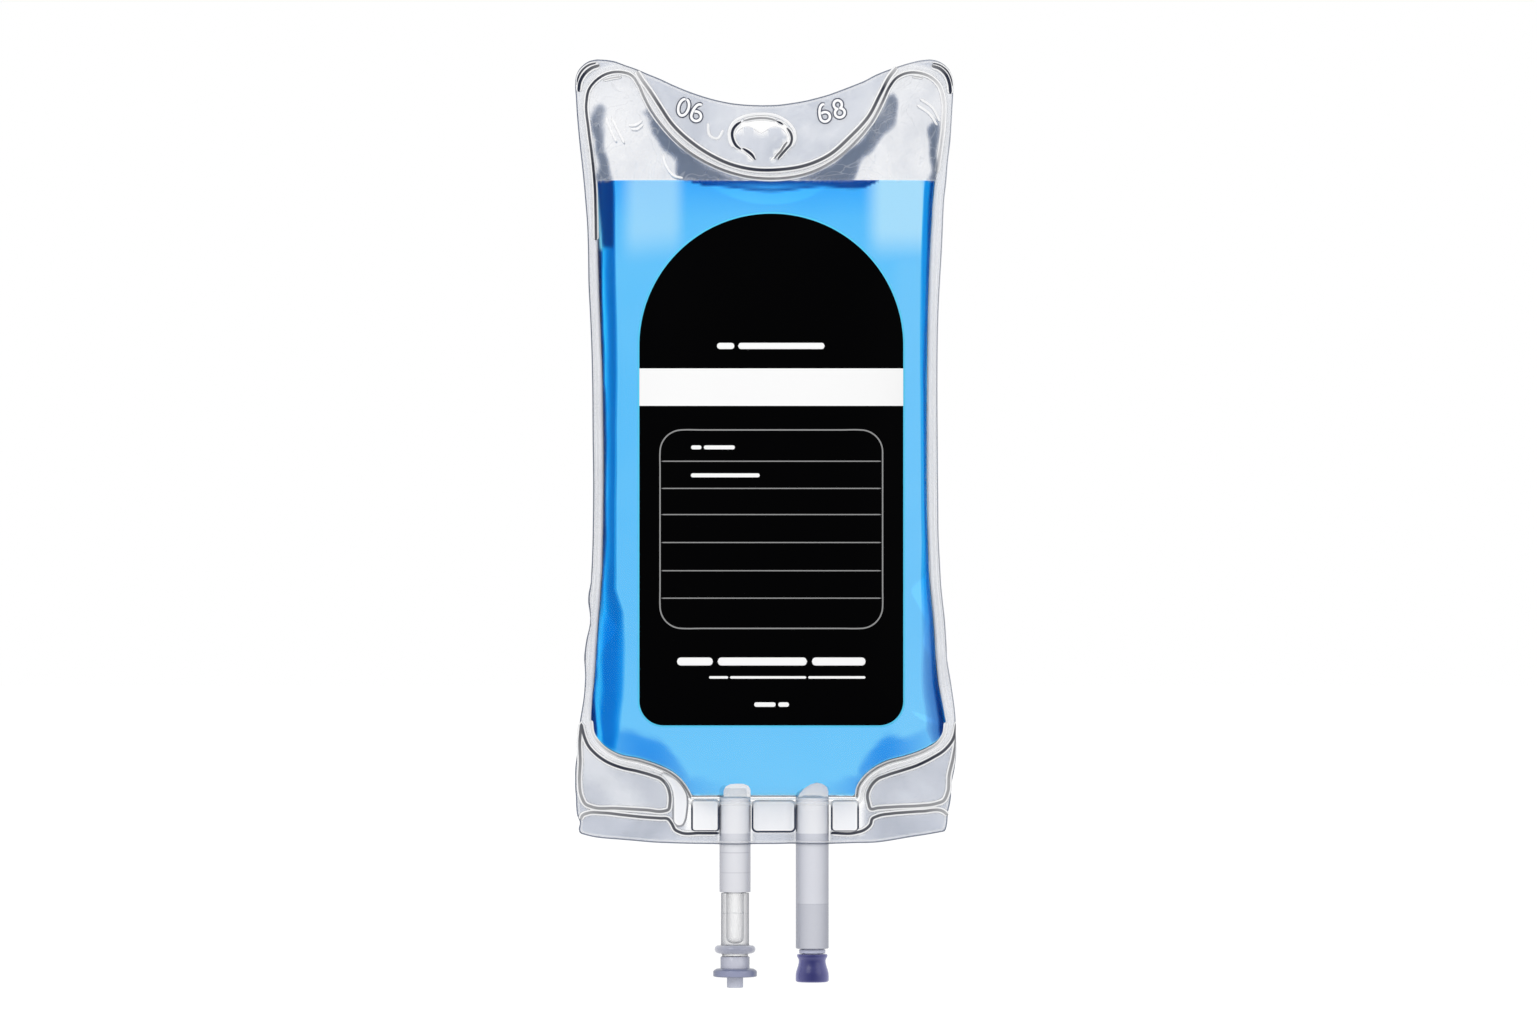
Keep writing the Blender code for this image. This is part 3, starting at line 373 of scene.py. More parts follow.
def carve(piece, cutters):
    """Cut prisms out of a piece, and keep the result as its mesh, with its other modifiers in it."""
    for cutter in cutters:
        cut = piece.modifiers.new("cut", "BOOLEAN")
        cut.operation = "DIFFERENCE"
        cut.solver = "EXACT"
        cut.object = cutter
    finished = bpy.data.meshes.new_from_object(piece.evaluated_get(bpy.context.evaluated_depsgraph_get()))
    piece.modifiers.clear()
    piece.data = finished
    finished.name = piece.name


def discard(cutters):
    for cutter in cutters:
        bpy.data.objects.remove(cutter, do_unlink=True)


# Depth of the chamber and of the film from the plane of the weld

def outline(*names):
    return chain(*[np.array(name, float) for name in names]) * MM


foot_left, foot_right = [smooth_line(outline(line), 45) for line in (FOOT_LEFT, FOOT_RIGHT)]
side_left, side_right = [smooth_line(outline(line), 90) for line in (SIDE_LEFT, SIDE_RIGHT)]
top_left = smooth_line(outline(HORN_LEFT, SMILE_LEFT), 80)
top_right = smooth_line(outline(HORN_RIGHT, SMILE_RIGHT), 80)
port_weld = outline(PORT_WELD_LEFT[::-1], PORT_WELD_RIGHT)
foot_line = chain(foot_left[::-1], port_weld, foot_right)
top_line = chain(top_left, top_right[::-1])
chamber_outline = chain(port_weld, foot_right, side_right, top_line[::-1], side_left[::-1],
                        foot_left[::-1])
film_outline = chain(*[smooth_line(outline(line), 50) for line in (
    SKIRT_RIGHT, HIP_RIGHT, EDGE_RIGHT, CORNER_RIGHT, TAB_RIGHT,
    TAB_LEFT[::-1], CORNER_LEFT[::-1], EDGE_LEFT[::-1], HIP_LEFT[::-1], SKIRT_LEFT[::-1])])

EYELET_X = -1.6 * MM
INJECTION_X = -11.85 * MM
SPIKE_X = 18.25 * MM
TUBE_DIAMETERS = {INJECTION_X: 12.2 * MM, SPIKE_X: 12.9 * MM}
TUBE_TOP_Z = -258.4 * MM
WRAP_ANGLE = math.radians(54)
CROWN = np.array([(-264.0, 25.0), (-200.0, 25.0), (-140.0, 23.8), (-80.0, 21.2), (-23.8, 18.0),
                  (20.0, 14.0)]) * MM


def fall_away(share):
    """From 0 at the weld to 1 where the wall has levelled out: (1 - (1 - share)^3)^0.56."""
    return (1 - (1 - np.clip(share, 0.0, 1.0)) ** 3) ** 0.56


def sides_at(z):
    """The x of the chamber's left and right sides at heights."""
    return (np.interp(z, side_left[:, 1], side_left[:, 0]), np.interp(z, side_right[:, 1], side_right[:, 0]))


def side_share(x, z):
    """How far a point lies in from the nearer side of the chamber, from 0 at the weld to 1 midway."""
    left, right = sides_at(z)
    return 1 - np.abs(2 * x - left - right) / (right - left)


def foot_height(x):
    return np.interp(x, foot_line[:, 0], foot_line[:, 1])


def crown_depth(x, z):
    """Half depth of the chamber: the crown's depth at that height, times its fall to sides, foot and top.

    The falls to the foot and the top go by the distance to those welds. Slow ripples run in from the side
    welds, where the film is gathered, and die away inwards.
    """
    from_top = fall_away(distance_to(top_line, x, z) / 0.080)
    from_foot = fall_away(distance_to(foot_line, x, z) / 0.048)
    side = side_share(x, z)
    depth = np.interp(z, CROWN[:, 0], CROWN[:, 1]) * fall_away(side) * from_foot * from_top
    wave = np.sin(z / MM / 7.3 + 3.0 * np.sin(z / MM / 31.0) + np.where(x > 0, 1.3, 0.0))
    low = smoothstep(-0.120, -0.200, z)
    ripple = (0.012 + 0.016 * low) * wave * np.exp(-side / 0.10)
    return depth * (1 + ripple)


def tube_depth(x, z):
    """Half depth of the film over the tubes: each tube's arc, with tangents down to the weld."""
    depth = np.zeros_like(x)
    for centre, diameter in TUBE_DIAMETERS.items():
        radius = (diameter / 2 + FIT_GAP) / math.cos(WRAP_ANGLE / 4)
        away = np.abs(x - centre)
        arc = np.sqrt(np.maximum(radius**2 - away**2, 0.0))
        tangent = np.maximum((radius / math.sin(WRAP_ANGLE) - away) * math.tan(WRAP_ANGLE), 0.0)
        depth = np.maximum(depth, np.where(away < radius * math.sin(WRAP_ANGLE), arc, tangent))
    return depth * (1 - smoothstep(TUBE_TOP_Z, TUBE_TOP_Z + 0.010, z))


def film_depth(x, z, inside):
    """Half depth of the film's inner face: the crown inside the chamber, and a soft bead on its weld."""
    depth = np.where(inside > 0, crown_depth(x, z), 0.0)
    bead = 0.35 * MM * bump(inside, -0.9 * MM, 0.7 * MM)
    return np.maximum(np.maximum(depth, WELD_GAP / 2 + bead), tube_depth(x, z))


# Node helpers

class Graph:
    """Short calls for the nodes of one material or one node group."""

    def __init__(self, tree):
        self.tree = tree

    def add(self, kind, **settings):
        node = self.tree.nodes.new(kind)
        for name, value in settings.items():
            setattr(node, name, value)
        return node

    def feed(self, socket, value):
        if isinstance(value, bpy.types.NodeSocket):
            self.tree.links.new(value, socket)
        elif isinstance(value, tuple) and len(value) == 3 and socket.type == "RGBA":
            socket.default_value = (*value, 1.0)
        else:
            socket.default_value = value

    def math(self, operation, *values, clamp=False):
        node = self.add("ShaderNodeMath", operation=operation, use_clamp=clamp)
        for socket, value in zip(node.inputs, values):
            self.feed(socket, value)
        return node.outputs[0]

    def times(self, first, second, clamp=False):
        return self.math("MULTIPLY", first, second, clamp=clamp)

    def plus(self, first, second, clamp=False):
        return self.math("ADD", first, second, clamp=clamp)

    def minus(self, first, second):
        return self.math("SUBTRACT", first, second)

    def most(self, *values):
        """The greatest of some values."""
        found = values[0]
        for value in values[1:]:
            found = self.math("MAXIMUM", found, value)
        return found

    def step(self, value, low, high, start=0.0, end=1.0):
        """From start at low to end at high, eased at both."""
        node = self.add("ShaderNodeMapRange", interpolation_type="SMOOTHSTEP")
        for socket, given in zip(node.inputs, (value, low, high, start, end)):
            self.feed(socket, given)
        return node.outputs[0]

    def band(self, value, centre, half, soft):
        """1 within half of a centre, and 0 from half plus soft onwards."""
        away = self.math("ABSOLUTE", self.minus(value, centre))
        return self.step(away, half, half + soft, 1.0, 0.0)

    def mix(self, share, first, second):
        node = self.add("ShaderNodeMix", data_type="RGBA")
        self.feed(node.inputs[0], share)
        self.feed(node.inputs[6], first)
        self.feed(node.inputs[7], second)
        return node.outputs[2]

    def ramp(self, value, stops):
        node = self.add("ShaderNodeValToRGB")
        while len(node.color_ramp.elements) < len(stops):
            node.color_ramp.elements.new(0.5)
        for element, (place, colour) in zip(node.color_ramp.elements, stops):
            element.position = place
            element.color = (*colour, 1.0)
        self.feed(node.inputs[0], value)
        return node.outputs[0]

    def relief(self, height, strength, distance):
        """A normal bent by a height."""
        node = self.add("ShaderNodeBump")
        self.feed(node.inputs["Height"], height)
        self.feed(node.inputs["Strength"], strength)
        node.inputs["Distance"].default_value = distance
        return node.outputs[0]

    def value_of(self, label):
        return self.add("ShaderNodeAttribute", attribute_name=label).outputs["Fac"]

    def values_of(self, *labels):
        return [self.value_of(label) for label in labels]

    def place(self, scale=(1.0, 1.0, 1.0)):
        mapping = self.add("ShaderNodeMapping")
        mapping.inputs["Scale"].default_value = scale
        self.feed(mapping.inputs["Vector"], self.add("ShaderNodeTexCoord").outputs["Object"])
        return mapping.outputs[0]

    def noise(self, scale, detail=3.0, vector=None, distortion=0.0):
        node = self.add("ShaderNodeTexNoise")
        self.feed(node.inputs["Scale"], scale)
        self.feed(node.inputs["Detail"], detail)
        self.feed(node.inputs["Distortion"], distortion)
        self.feed(node.inputs["Vector"], vector if vector else self.place())
        return node.outputs["Fac"]


def new_material(name, roughness=0.3, ior=1.5, transmission=0.0, specular=0.5):
    made = bpy.data.materials.new(name)
    made.use_nodes = True
    shader = made.node_tree.nodes["Principled BSDF"]
    shader.inputs["Roughness"].default_value = roughness
    shader.inputs["IOR"].default_value = ior
    shader.inputs["Metallic"].default_value = 0.0
    shader.inputs["Transmission Weight"].default_value = transmission
    shader.inputs["Specular IOR Level"].default_value = specular
    return made, Graph(made.node_tree), shader


def new_group(name, inputs, outputs):
    """A node group with float inputs, each with a start value, and named outputs of the given kinds."""
    tree = bpy.data.node_groups.new(name, "ShaderNodeTree")
    for label, value in inputs.items():
        tree.interface.new_socket(label, in_out="INPUT", socket_type="NodeSocketFloat").default_value = value
    for label, kind in outputs.items():
        tree.interface.new_socket(label, in_out="OUTPUT", socket_type="NodeSocket" + kind)
    graph = Graph(tree)
    return tree, graph, graph.add("NodeGroupInput"), graph.add("NodeGroupOutput")


def use_group(graph, tree, **values):
    node = graph.add("ShaderNodeGroup", node_tree=tree)
    for label, value in values.items():
        graph.feed(node.inputs[label], value)
    return node


def make_mottle():
    """Moulded plastic is never one tone: slow clouds and fine specks lighten and darken it a little."""
    tree, graph, given, result = new_group("plastic_mottle", {"Scale": 60.0, "Strength": 0.06, "Bump": 0.1},
                                           {"Factor": "Float", "Normal": "Vector"})
    clouds = graph.noise(given.outputs["Scale"], 4.0)
    specks = graph.noise(graph.times(given.outputs["Scale"], 14.0), 2.0)
    both = graph.plus(graph.times(clouds, 0.7), graph.times(specks, 0.3))
    centred = graph.times(graph.minus(both, 0.5), given.outputs["Strength"])
    graph.feed(result.inputs["Factor"], graph.plus(centred, 1.0))
    graph.feed(result.inputs["Normal"], graph.relief(both, given.outputs["Bump"], 0.0003))
    return tree


def make_swirl():
    """Clear film under tension: long soft swirls, and fine bright creases painted as highlights where the
    swirls are steep.
    """
    tree, graph, given, result = new_group("film_swirl", {"Scale": 22.0, "Crease": 0.5},
                                           {"Cloud": "Float", "Crease": "Float"})
    flow = graph.noise(given.outputs["Scale"], 3.0, distortion=1.6)
    fine = graph.noise(graph.times(given.outputs["Scale"], 2.4), 2.0, distortion=2.2)
    ridge = graph.band(fine, 0.5, 0.004, 0.016)
    graph.feed(result.inputs["Cloud"], flow)
    graph.feed(result.inputs["Crease"], graph.times(ridge, given.outputs["Crease"]))
    return tree


mottle = make_mottle()
swirl = make_swirl()


# Finishes

def film_finish():
    """Clear film: lilac grey where two sheets lie together, nearly unseen where the fluid wets it.

    The point values say how hazy and wet the film is and how much painted shade it carries. Soft dark lines
    of painted shade and bright lines of painted highlight follow the cut edge and the inner edge of the weld,
    where the film bends most, and painted highlights follow fine creases.
    """
    made, graph, shader = new_material("clear_film", roughness=0.16, ior=1.45, specular=0.25)
    inside, edge, haze, shade, wet, wrinkle = graph.values_of("inside_mm", "from_edge_mm", "haze", "shade",
                                                              "wet", "wrinkle")
    flow = use_group(graph, swirl, Scale=24.0, Crease=0.8)
    cloud = graph.minus(flow.outputs["Cloud"], 0.5)
    # The body darkens with the painted shade, and the swirl clouds vary its tone.
    body = graph.mix(graph.plus(shade, graph.times(cloud, 0.85), clamp=True),
                     (0.38, 0.44, 0.58), (0.155, 0.195, 0.275))
    # Painted shade: dark lines along the cut edge and the foot seam. Painted highlights: bright lines inside
    # the cut edge, along the chamber's edge, along the middle of the weld band and on the creases.
    cut_edge_shade = graph.times(graph.band(edge, 0.22, 0.18, 0.16), graph.value_of("edge_shade"))
    cut_highlight = graph.times(graph.band(edge, 0.95, 0.18, 0.22), 0.25)
    seam_shade = graph.times(graph.band(inside, -0.12, 0.10, 0.10), graph.value_of("foot"))
    seam_highlight = graph.times(graph.band(inside, -0.36, 0.20, 0.12), graph.plus(graph.times(wet, 0.65), 0.25))
    mid_highlight = graph.times(graph.band(inside, -2.0, 0.40, 0.50), 0.24)
    crease_highlight = graph.times(graph.times(flow.outputs["Crease"], wrinkle), 0.22)
    painted_light = graph.most(cut_highlight, seam_highlight, mid_highlight, crease_highlight)
    line = graph.most(cut_edge_shade, graph.times(seam_shade, 0.45))
    gain = graph.plus(graph.times(wrinkle, 3.0), 0.9)
    veil = graph.most(graph.times(haze, graph.plus(graph.times(cloud, gain), 1.0)), 0.0)
    colour = body
    for part, tint in ((painted_light, (0.97, 0.97, 0.975)), (line, (0.12, 0.14, 0.20))):
        share = graph.math("DIVIDE", part, graph.plus(graph.plus(part, veil), 0.001))
        colour = graph.mix(share, colour, tint)
    rim = graph.add("ShaderNodeLayerWeight")
    rim.inputs["Blend"].default_value = 0.35
    dryness = graph.minus(1.0, graph.times(wet, 0.92))
    grazing = graph.times(graph.math("POWER", rim.outputs["Facing"], 3.0), 0.14)
    cover = graph.plus(graph.most(veil, painted_light, line), graph.times(grazing, dryness), clamp=True)
    graph.feed(shader.inputs["Base Color"], colour)
    graph.feed(shader.inputs["Alpha"], cover)
    graph.feed(shader.inputs["Normal"], graph.relief(graph.noise(55.0, 3.0, distortion=1.2), 0.16, 0.0012))
    return made


def line_finish(name, core, painted_light, core_half, strength=1.0):
    """A raised weld line: a dark core of painted shade between two bright flanks of painted highlight that
    fade out at the line's borders.
    """
    made, graph, shader = new_material(name, roughness=0.2, ior=1.45, specular=0.3)
    across = graph.math("ABSOLUTE", graph.value_of("across"))
    weight = graph.value_of("weight")
    dark = graph.times(graph.step(across, core_half, core_half + 0.14, 1.0, 0.0), weight)
    flank = graph.step(across, 0.78, 1.0, 1.0, 0.0)
    tone = use_group(graph, mottle, Scale=140.0, Strength=0.3, Bump=0.05)
    cover = graph.most(graph.times(flank, 0.62 * strength), dark)
    graph.feed(shader.inputs["Base Color"], graph.mix(dark, painted_light, core))
    graph.feed(shader.inputs["Alpha"], graph.times(cover, tone.outputs["Factor"], clamp=True))
    return made


def panel_finish():
    """A thick welded pad: a dark outline of painted shadow, a bright inner line of painted highlight, and a
    pale milky face.
    """
    made, graph, shader = new_material("welded_pad", roughness=0.22, ior=1.48, specular=0.3)
    rim = graph.value_of("from_rim_mm")
    tone = use_group(graph, mottle, Scale=70.0, Strength=0.10, Bump=0.1)
    dark = graph.times(graph.band(rim, 0.34, 0.32, 0.16), graph.value_of("outline_shade"))
    face = graph.mix(graph.noise(60.0, 3.0), (0.87, 0.885, 0.925), (0.97, 0.97, 0.985))
    colour = graph.mix(graph.band(rim, 1.05, 0.20, 0.25), face, (0.97, 0.97, 0.98))
    cover = graph.most(graph.step(rim, 0.0, 0.3, 0.35, 0.98), dark)
    graph.feed(shader.inputs["Base Color"], graph.mix(dark, colour, (0.03, 0.038, 0.07)))
    graph.feed(shader.inputs["Alpha"], graph.times(cover, tone.outputs["Factor"], clamp=True))
    graph.feed(shader.inputs["Normal"], tone.outputs["Normal"])
    return made


# Painted shade and light across the side streaks, from the side weld inwards, above and below the height
# where they change
STREAKS = {
    "upper_left": [(0.0, (0.0, 0.001, 0.02)), (0.15, (0.0, 0.004, 0.05)), (0.22, (0.0, 0.07, 0.36)),
                   (0.29, (0.02, 0.50, 0.97)), (0.39, (0.02, 0.44, 0.93)), (0.48, (0.006, 0.28, 0.78)),
                   (0.58, (0.0, 0.19, 0.64)), (0.80, (0.0, 0.14, 0.52)), (1.0, (0.002, 0.20, 0.66))],
    "lower_left": [(0.0, (0.0, 0.02, 0.14)), (0.11, (0.0, 0.05, 0.28)), (0.17, (0.02, 0.42, 0.92)),
                   (0.29, (0.04, 0.48, 0.96)), (0.36, (0.004, 0.27, 0.78)), (0.43, (0.0, 0.17, 0.64)),
                   (0.78, (0.0, 0.18, 0.67)), (0.90, (0.004, 0.27, 0.79)), (1.0, (0.04, 0.38, 0.90))],
    "upper_right": [(0.0, (0.02, 0.36, 0.80)), (0.20, (0.0, 0.05, 0.26)), (0.40, (0.0, 0.06, 0.32)),
                    (0.55, (0.002, 0.26, 0.74)), (0.90, (0.004, 0.29, 0.78)), (1.0, (0.02, 0.34, 0.86))],
    "lower_right": [(0.0, (0.0, 0.16, 0.50)), (0.16, (0.0, 0.022, 0.15)), (0.32, (0.0, 0.035, 0.22)),
                    (0.46, (0.05, 0.20, 0.56)), (0.70, (0.07, 0.26, 0.64)), (1.0, (0.14, 0.45, 0.86))],
}
FIELD_TONES = [(0.0, (0.17, 0.59, 0.98)), (0.25, (0.12, 0.535, 0.97)), (0.55, (0.11, 0.535, 0.975)),
               (0.85, (0.12, 0.55, 0.98)), (0.94, (0.08, 0.50, 0.99)), (1.0, (0.012, 0.375, 1.0))]


def fluid_finish():
    """Clear blue fluid. The light and shade that the bag's lens shape throws are painted into its tint over
    its surface.

    Painted shade: deep blue streaks along both side welds up to a sharp border, darker patches over the foot,
    and a dark band under the level where the level reflects. Painted light: pale patches near the top, and a
    bright cyan line along the foot weld.
    """
    made, graph, shader = new_material("blue_fluid", roughness=0.03, ior=1.06, transmission=1.0,
                                       specular=0.12)
    height = graph.value_of("height_share")
    field = graph.ramp(height, FIELD_TONES)
    drift = graph.times(graph.minus(graph.noise(18.0, 2.0, distortion=0.8), 0.35), 0.5, clamp=True)
    field = graph.mix(drift, field, (0.25, 0.66, 0.985))
    # Pale patches are painted light; deep patches and the band under the level are painted shade and painted
    # reflection.
    for label, tint in (("pale", (0.39, 0.74, 0.985)), ("deep", (0.012, 0.27, 0.83)),
                        ("level_reflection", (0.0, 0.055, 0.30))):
        field = graph.mix(graph.value_of(label), field, tint)
    waver = graph.noise(1.0, 3.0, graph.place((30.0, 30.0, 16.0)), 1.0)
    waver = graph.times(graph.minus(waver, 0.5), 0.55)
    lower = graph.step(height, 0.36, 0.22)
    for side in ("left", "right"):
        across = graph.value_of("strip_" + side)
        share = graph.plus(across, graph.times(waver, graph.step(across, 0.9, 0.6)), clamp=True)
        upper = graph.ramp(share, STREAKS["upper_" + side])
        if side == "left":
            # A dark patch of painted shade in the upper left streak, and a pale sliver of painted highlight
            # beside it.
            upper = graph.mix(graph.value_of("night"), upper, (0.0, 0.030, 0.20))
            upper = graph.mix(graph.value_of("sliver"), upper, (0.30, 0.78, 0.99))
        tint = graph.mix(lower, upper, graph.ramp(share, STREAKS["lower_" + side]))
        field = graph.mix(graph.step(across, 0.97, 1.04, 1.0, 0.0), field, tint)
    # A bright cyan line of painted light just inside the foot weld.
    foot_rim_highlight = graph.times(graph.band(graph.value_of("from_foot_mm"), 1.3, 0.35, 0.4), 0.85)
    graph.feed(shader.inputs["Base Color"], graph.mix(foot_rim_highlight, field, (0.22, 0.76, 1.0)))
    return made


def print_finish(name, colour, roughness, variation, specular=0.2):
    """Ink on film: even, with faint clouds in its tone and gloss, and the fine tooth of the print."""
    made, graph, shader = new_material(name, roughness=roughness, ior=1.45, specular=specular)
    tone = use_group(graph, mottle, Scale=45.0, Strength=variation, Bump=0.06)
    darker = tuple(0.8 * part for part in colour)
    share = graph.math("SUBTRACT", tone.outputs["Factor"], 0.5, clamp=True)
    graph.feed(shader.inputs["Base Color"], graph.mix(share, darker, colour))
    graph.feed(shader.inputs["Roughness"], graph.times(tone.outputs["Factor"], roughness))
    graph.feed(shader.inputs["Normal"], tone.outputs["Normal"])
    return made


def moulding_finish(name, face, rim, cover, roughness=0.18, rings=(), specular=0.4, above=None,
                    below=None, welded=None, falloff=2.2):
    """Moulded or extruded plastic, with painted light and shade at its edges: the face colour face on turns
    to the rim colour where the surface turns away, darker on some pieces and lighter on others, and it is as
    clear as its cover says.

    Rings are heights in millimetres at which a wall behind the surface ends, drawn as a soft line of painted
    shade. Above one height the wall is clearer and painted with the bluish tint of the fluid round it; in the
    weld it is paler; and below another height a plug behind it is painted in as shade that darkens it.
    """
    made, graph, shader = new_material(name, roughness=roughness, ior=1.5, specular=specular)
    tone = use_group(graph, mottle, Scale=90.0, Strength=0.10, Bump=0.08)
    turn = graph.add("ShaderNodeLayerWeight")
    turn.inputs["Blend"].default_value = 0.5
    away = graph.math("POWER", turn.outputs["Facing"], falloff)
    colour = graph.mix(away, face, rim)
    solid = graph.plus(graph.times(away, 1.0 - cover), cover, clamp=True)
    split = graph.add("ShaderNodeSeparateXYZ")
    graph.feed(split.inputs[0], graph.place((1000.0, 1000.0, 1000.0)))
    height = split.outputs[2]
    for place, half, strength in rings:
        line = graph.times(graph.band(height, place, half, 0.25), strength)
        colour = graph.mix(line, colour, rim)
        solid = graph.most(solid, line)
    if welded:
        paler = graph.step(height, welded[0] - 0.3, welded[0], 0.0, welded[1])
        colour = graph.mix(graph.times(graph.minus(1.0, away), paler), colour, (0.95, 0.95, 0.97))
    if above:
        colour = graph.mix(graph.step(height, above[0], above[0] + 0.8), colour, (0.55, 0.70, 0.78))
        solid = graph.times(solid, graph.step(height, above[0], above[0] + 0.8, 1.0, above[1]))
    if below:
        colour = graph.mix(graph.step(height, below[0], below[0] - 0.4, 0.0, below[1]), colour, rim)
    lighter = tuple(min(1.0, 1.6 * part) for part in face)
    speck = graph.times(graph.minus(tone.outputs["Factor"], 1.0), 2.0, clamp=True)
    graph.feed(shader.inputs["Base Color"], graph.mix(speck, colour, lighter))
    graph.feed(shader.inputs["Normal"], tone.outputs["Normal"])
    if cover < 1.0:
        graph.feed(shader.inputs["Alpha"], solid)
    return made


film = film_finish()
fluid_tint = fluid_finish()
# Weld lines, creases, corner facets, streaks and the eyelet's strokes carry painted light: the bending film's
# dark refraction as a dark core and its bright edges as white flanks.
weld_line = line_finish("weld_line", (0.010, 0.014, 0.032), (0.98, 0.98, 0.985), 0.35, 1.35)
# Raised digits take the colours the other way round: a painted highlight in the core and painted shade on the
# flanks.
raised_digit = line_finish("raised_digit", (0.97, 0.97, 0.98), (0.04, 0.05, 0.09), 0.40, 1.6)
pad = panel_finish()
black_ink = print_finish("black_print", (0.0006, 0.0006, 0.0008), 0.42, 0.5, 0.012)
white_ink = print_finish("white_print", (0.99, 0.99, 0.99), 0.45, 0.05)
grey_ink = print_finish("grey_print", (0.30, 0.30, 0.30), 0.45, 0.1, 0.05)
# A bright cyan line round the label's edge: painted light in the fluid beside the label, made with the ink
# finish.
cyan_rim_highlight = print_finish("label_rim_highlight", (0.10, 0.66, 1.0), 0.25, 0.05)
# The tubes' edges are painted darker where they turn away, and their inner wall ends painted as soft dark
# lines.
milky = moulding_finish("milky_tube", (0.78, 0.785, 0.83), (0.20, 0.21, 0.28), 0.94, above=(-264.6, 0.15),
                        welded=(-278.0, 0.85), rings=((-285.6, 0.1, 0.25), (-293.4, 0.1, 0.18)),
                        falloff=1.15)
sleeve = moulding_finish("milky_sleeve", (0.69, 0.70, 0.76), (0.15, 0.165, 0.235), 0.95,
                         above=(-264.6, 0.30), welded=(-278.0, 0.85), below=(-305.7, 0.22),
                         rings=((-305.7, 0.1, 0.28),), falloff=1.1)
# The clear insert's edges are painted dark where it turns away, with painted shade lines where inner walls
# end.
clear = moulding_finish("clear_moulding", (0.98, 0.98, 0.99), (0.03, 0.04, 0.09), 0.12, 0.08,
                        rings=((-309.3, 0.08, 0.25), (-321.6, 0.6, 0.35)), falloff=0.85)
# The bead ring's edges are painted lighter than its face: painted highlight where it turns away.
ring_grey = moulding_finish("ring_moulding", (0.35, 0.365, 0.46), (0.60, 0.61, 0.68), 0.85, 0.12, falloff=0.9)
neck_grey = moulding_finish("neck_moulding", (0.56, 0.58, 0.73), (0.34, 0.36, 0.48), 0.85, 0.12)
# On the flange the paler band above its top edge is a painted highlight where light falls on it.
flange_grey = moulding_finish("grey_moulding", (0.29, 0.31, 0.45), (0.08, 0.10, 0.18), 0.95, 0.15,
                              welded=(-330.9, 0.42), falloff=1.2)
rubber = moulding_finish("septum_rubber", (0.60, 0.62, 0.72), (0.30, 0.32, 0.42), 1.0, 0.5)
# The cap's edges are painted lighter than its face: painted highlight where it turns away.
violet = moulding_finish("violet_cap", (0.019, 0.021, 0.130), (0.26, 0.26, 0.52), 1.0, 0.25, specular=0.3,
                         falloff=0.85)


# Film sheets

PORT_STEPS, FOOT_STEPS, SIDE_STEPS, HORN_STEPS, SMILE_STEPS = 36, 74, 160, 20, 90


def closer_at_top(count):
    """Shares of a length that lie closer together towards its end: s * (1.4 - 0.4 s)."""
    share = np.linspace(0, 1, count)
    return share * (1.4 - 0.4 * share)


def matched_halves(side):
    """Matched points up one side: along the chamber's outline, and along the cut edge beside it."""
    skirt, hip, edge, corner, tab, weld, foot, flank, horn, smile = side
    weld_line_x = np.linspace(weld[0][0], weld[1][0], PORT_STEPS + 1) * MM
    skirt_line = smooth_line(outline(skirt), 400)
    order = np.argsort(skirt_line[:, 0])
    under = np.interp(weld_line_x, skirt_line[order, 0], skirt_line[order, 1])
    beyond = skirt_line[np.abs(skirt_line[:, 0]) > abs(weld_line_x[-1])]
    inner = [np.stack([weld_line_x, np.full(PORT_STEPS + 1, weld[0][1] * MM)], axis=1)]
    outer = [np.stack([weld_line_x, under], axis=1)]
    corner_point = np.array([[weld_line_x[-1], under[-1]]])
    inner.append(smooth_line(outline(foot), FOOT_STEPS + 1))
    outer.append(smooth_line(np.vstack([corner_point, beyond[::25], outline(hip)]), FOOT_STEPS + 1))
    for near, far, steps in ((flank, edge, SIDE_STEPS), (horn, corner, HORN_STEPS),
                             (smile, tab, SMILE_STEPS)):
        shares = closer_at_top(steps + 1) if steps == SIDE_STEPS else None
        inner.append(smooth_line(outline(near), steps + 1, shares))
        outer.append(smooth_line(outline(far), steps + 1, shares))
    return chain(*inner), chain(*outer)


right_inner, right_outer = matched_halves((SKIRT_RIGHT, HIP_RIGHT, EDGE_RIGHT, CORNER_RIGHT, TAB_RIGHT,
                                           PORT_WELD_RIGHT, FOOT_RIGHT, SIDE_RIGHT, HORN_RIGHT, SMILE_RIGHT))
left_inner, left_outer = matched_halves((SKIRT_LEFT, HIP_LEFT, EDGE_LEFT, CORNER_LEFT, TAB_LEFT,
                                         PORT_WELD_LEFT, FOOT_LEFT, SIDE_LEFT, HORN_LEFT, SMILE_LEFT))


def chamber_patch():
    """A grid over the whole chamber, blended from its foot, its sides and its smile-shaped top."""
    low, high = PORT_STEPS + FOOT_STEPS, PORT_STEPS + FOOT_STEPS + SIDE_STEPS
    bottom = chain(left_inner[:low + 1][::-1], right_inner[:low + 1])
    top = chain(left_inner[high:], right_inner[high:][::-1])
    return coons(bottom, right_inner[low:high + 1], top, left_inner[low:high + 1])


def within(ring, x, z):
    """Soft cover of a closed outline in millimetres: 1 from 1.6 mm inside it, 0 from 0.8 mm outside it.

    A point counts as inside when a level ray from it crosses the outline an odd number of times.
    """
    line = smooth_line(outline(ring), 90)
    low, high = line[:-1], line[1:]
    rising = (low[:, 1] > z[..., None]) != (high[:, 1] > z[..., None])
    slope = (high[:, 0] - low[:, 0]) / np.where(high[:, 1] == low[:, 1], 1e-9, high[:, 1] - low[:, 1])
    crossing = low[:, 0] + (z[..., None] - low[:, 1]) * slope
    odd = (rising & (x[..., None] < crossing)).sum(axis=-1) % 2 == 1
    away = distance_to(line, x, z)
    return smoothstep(-0.8 * MM, 1.6 * MM, np.where(odd, away, -away))


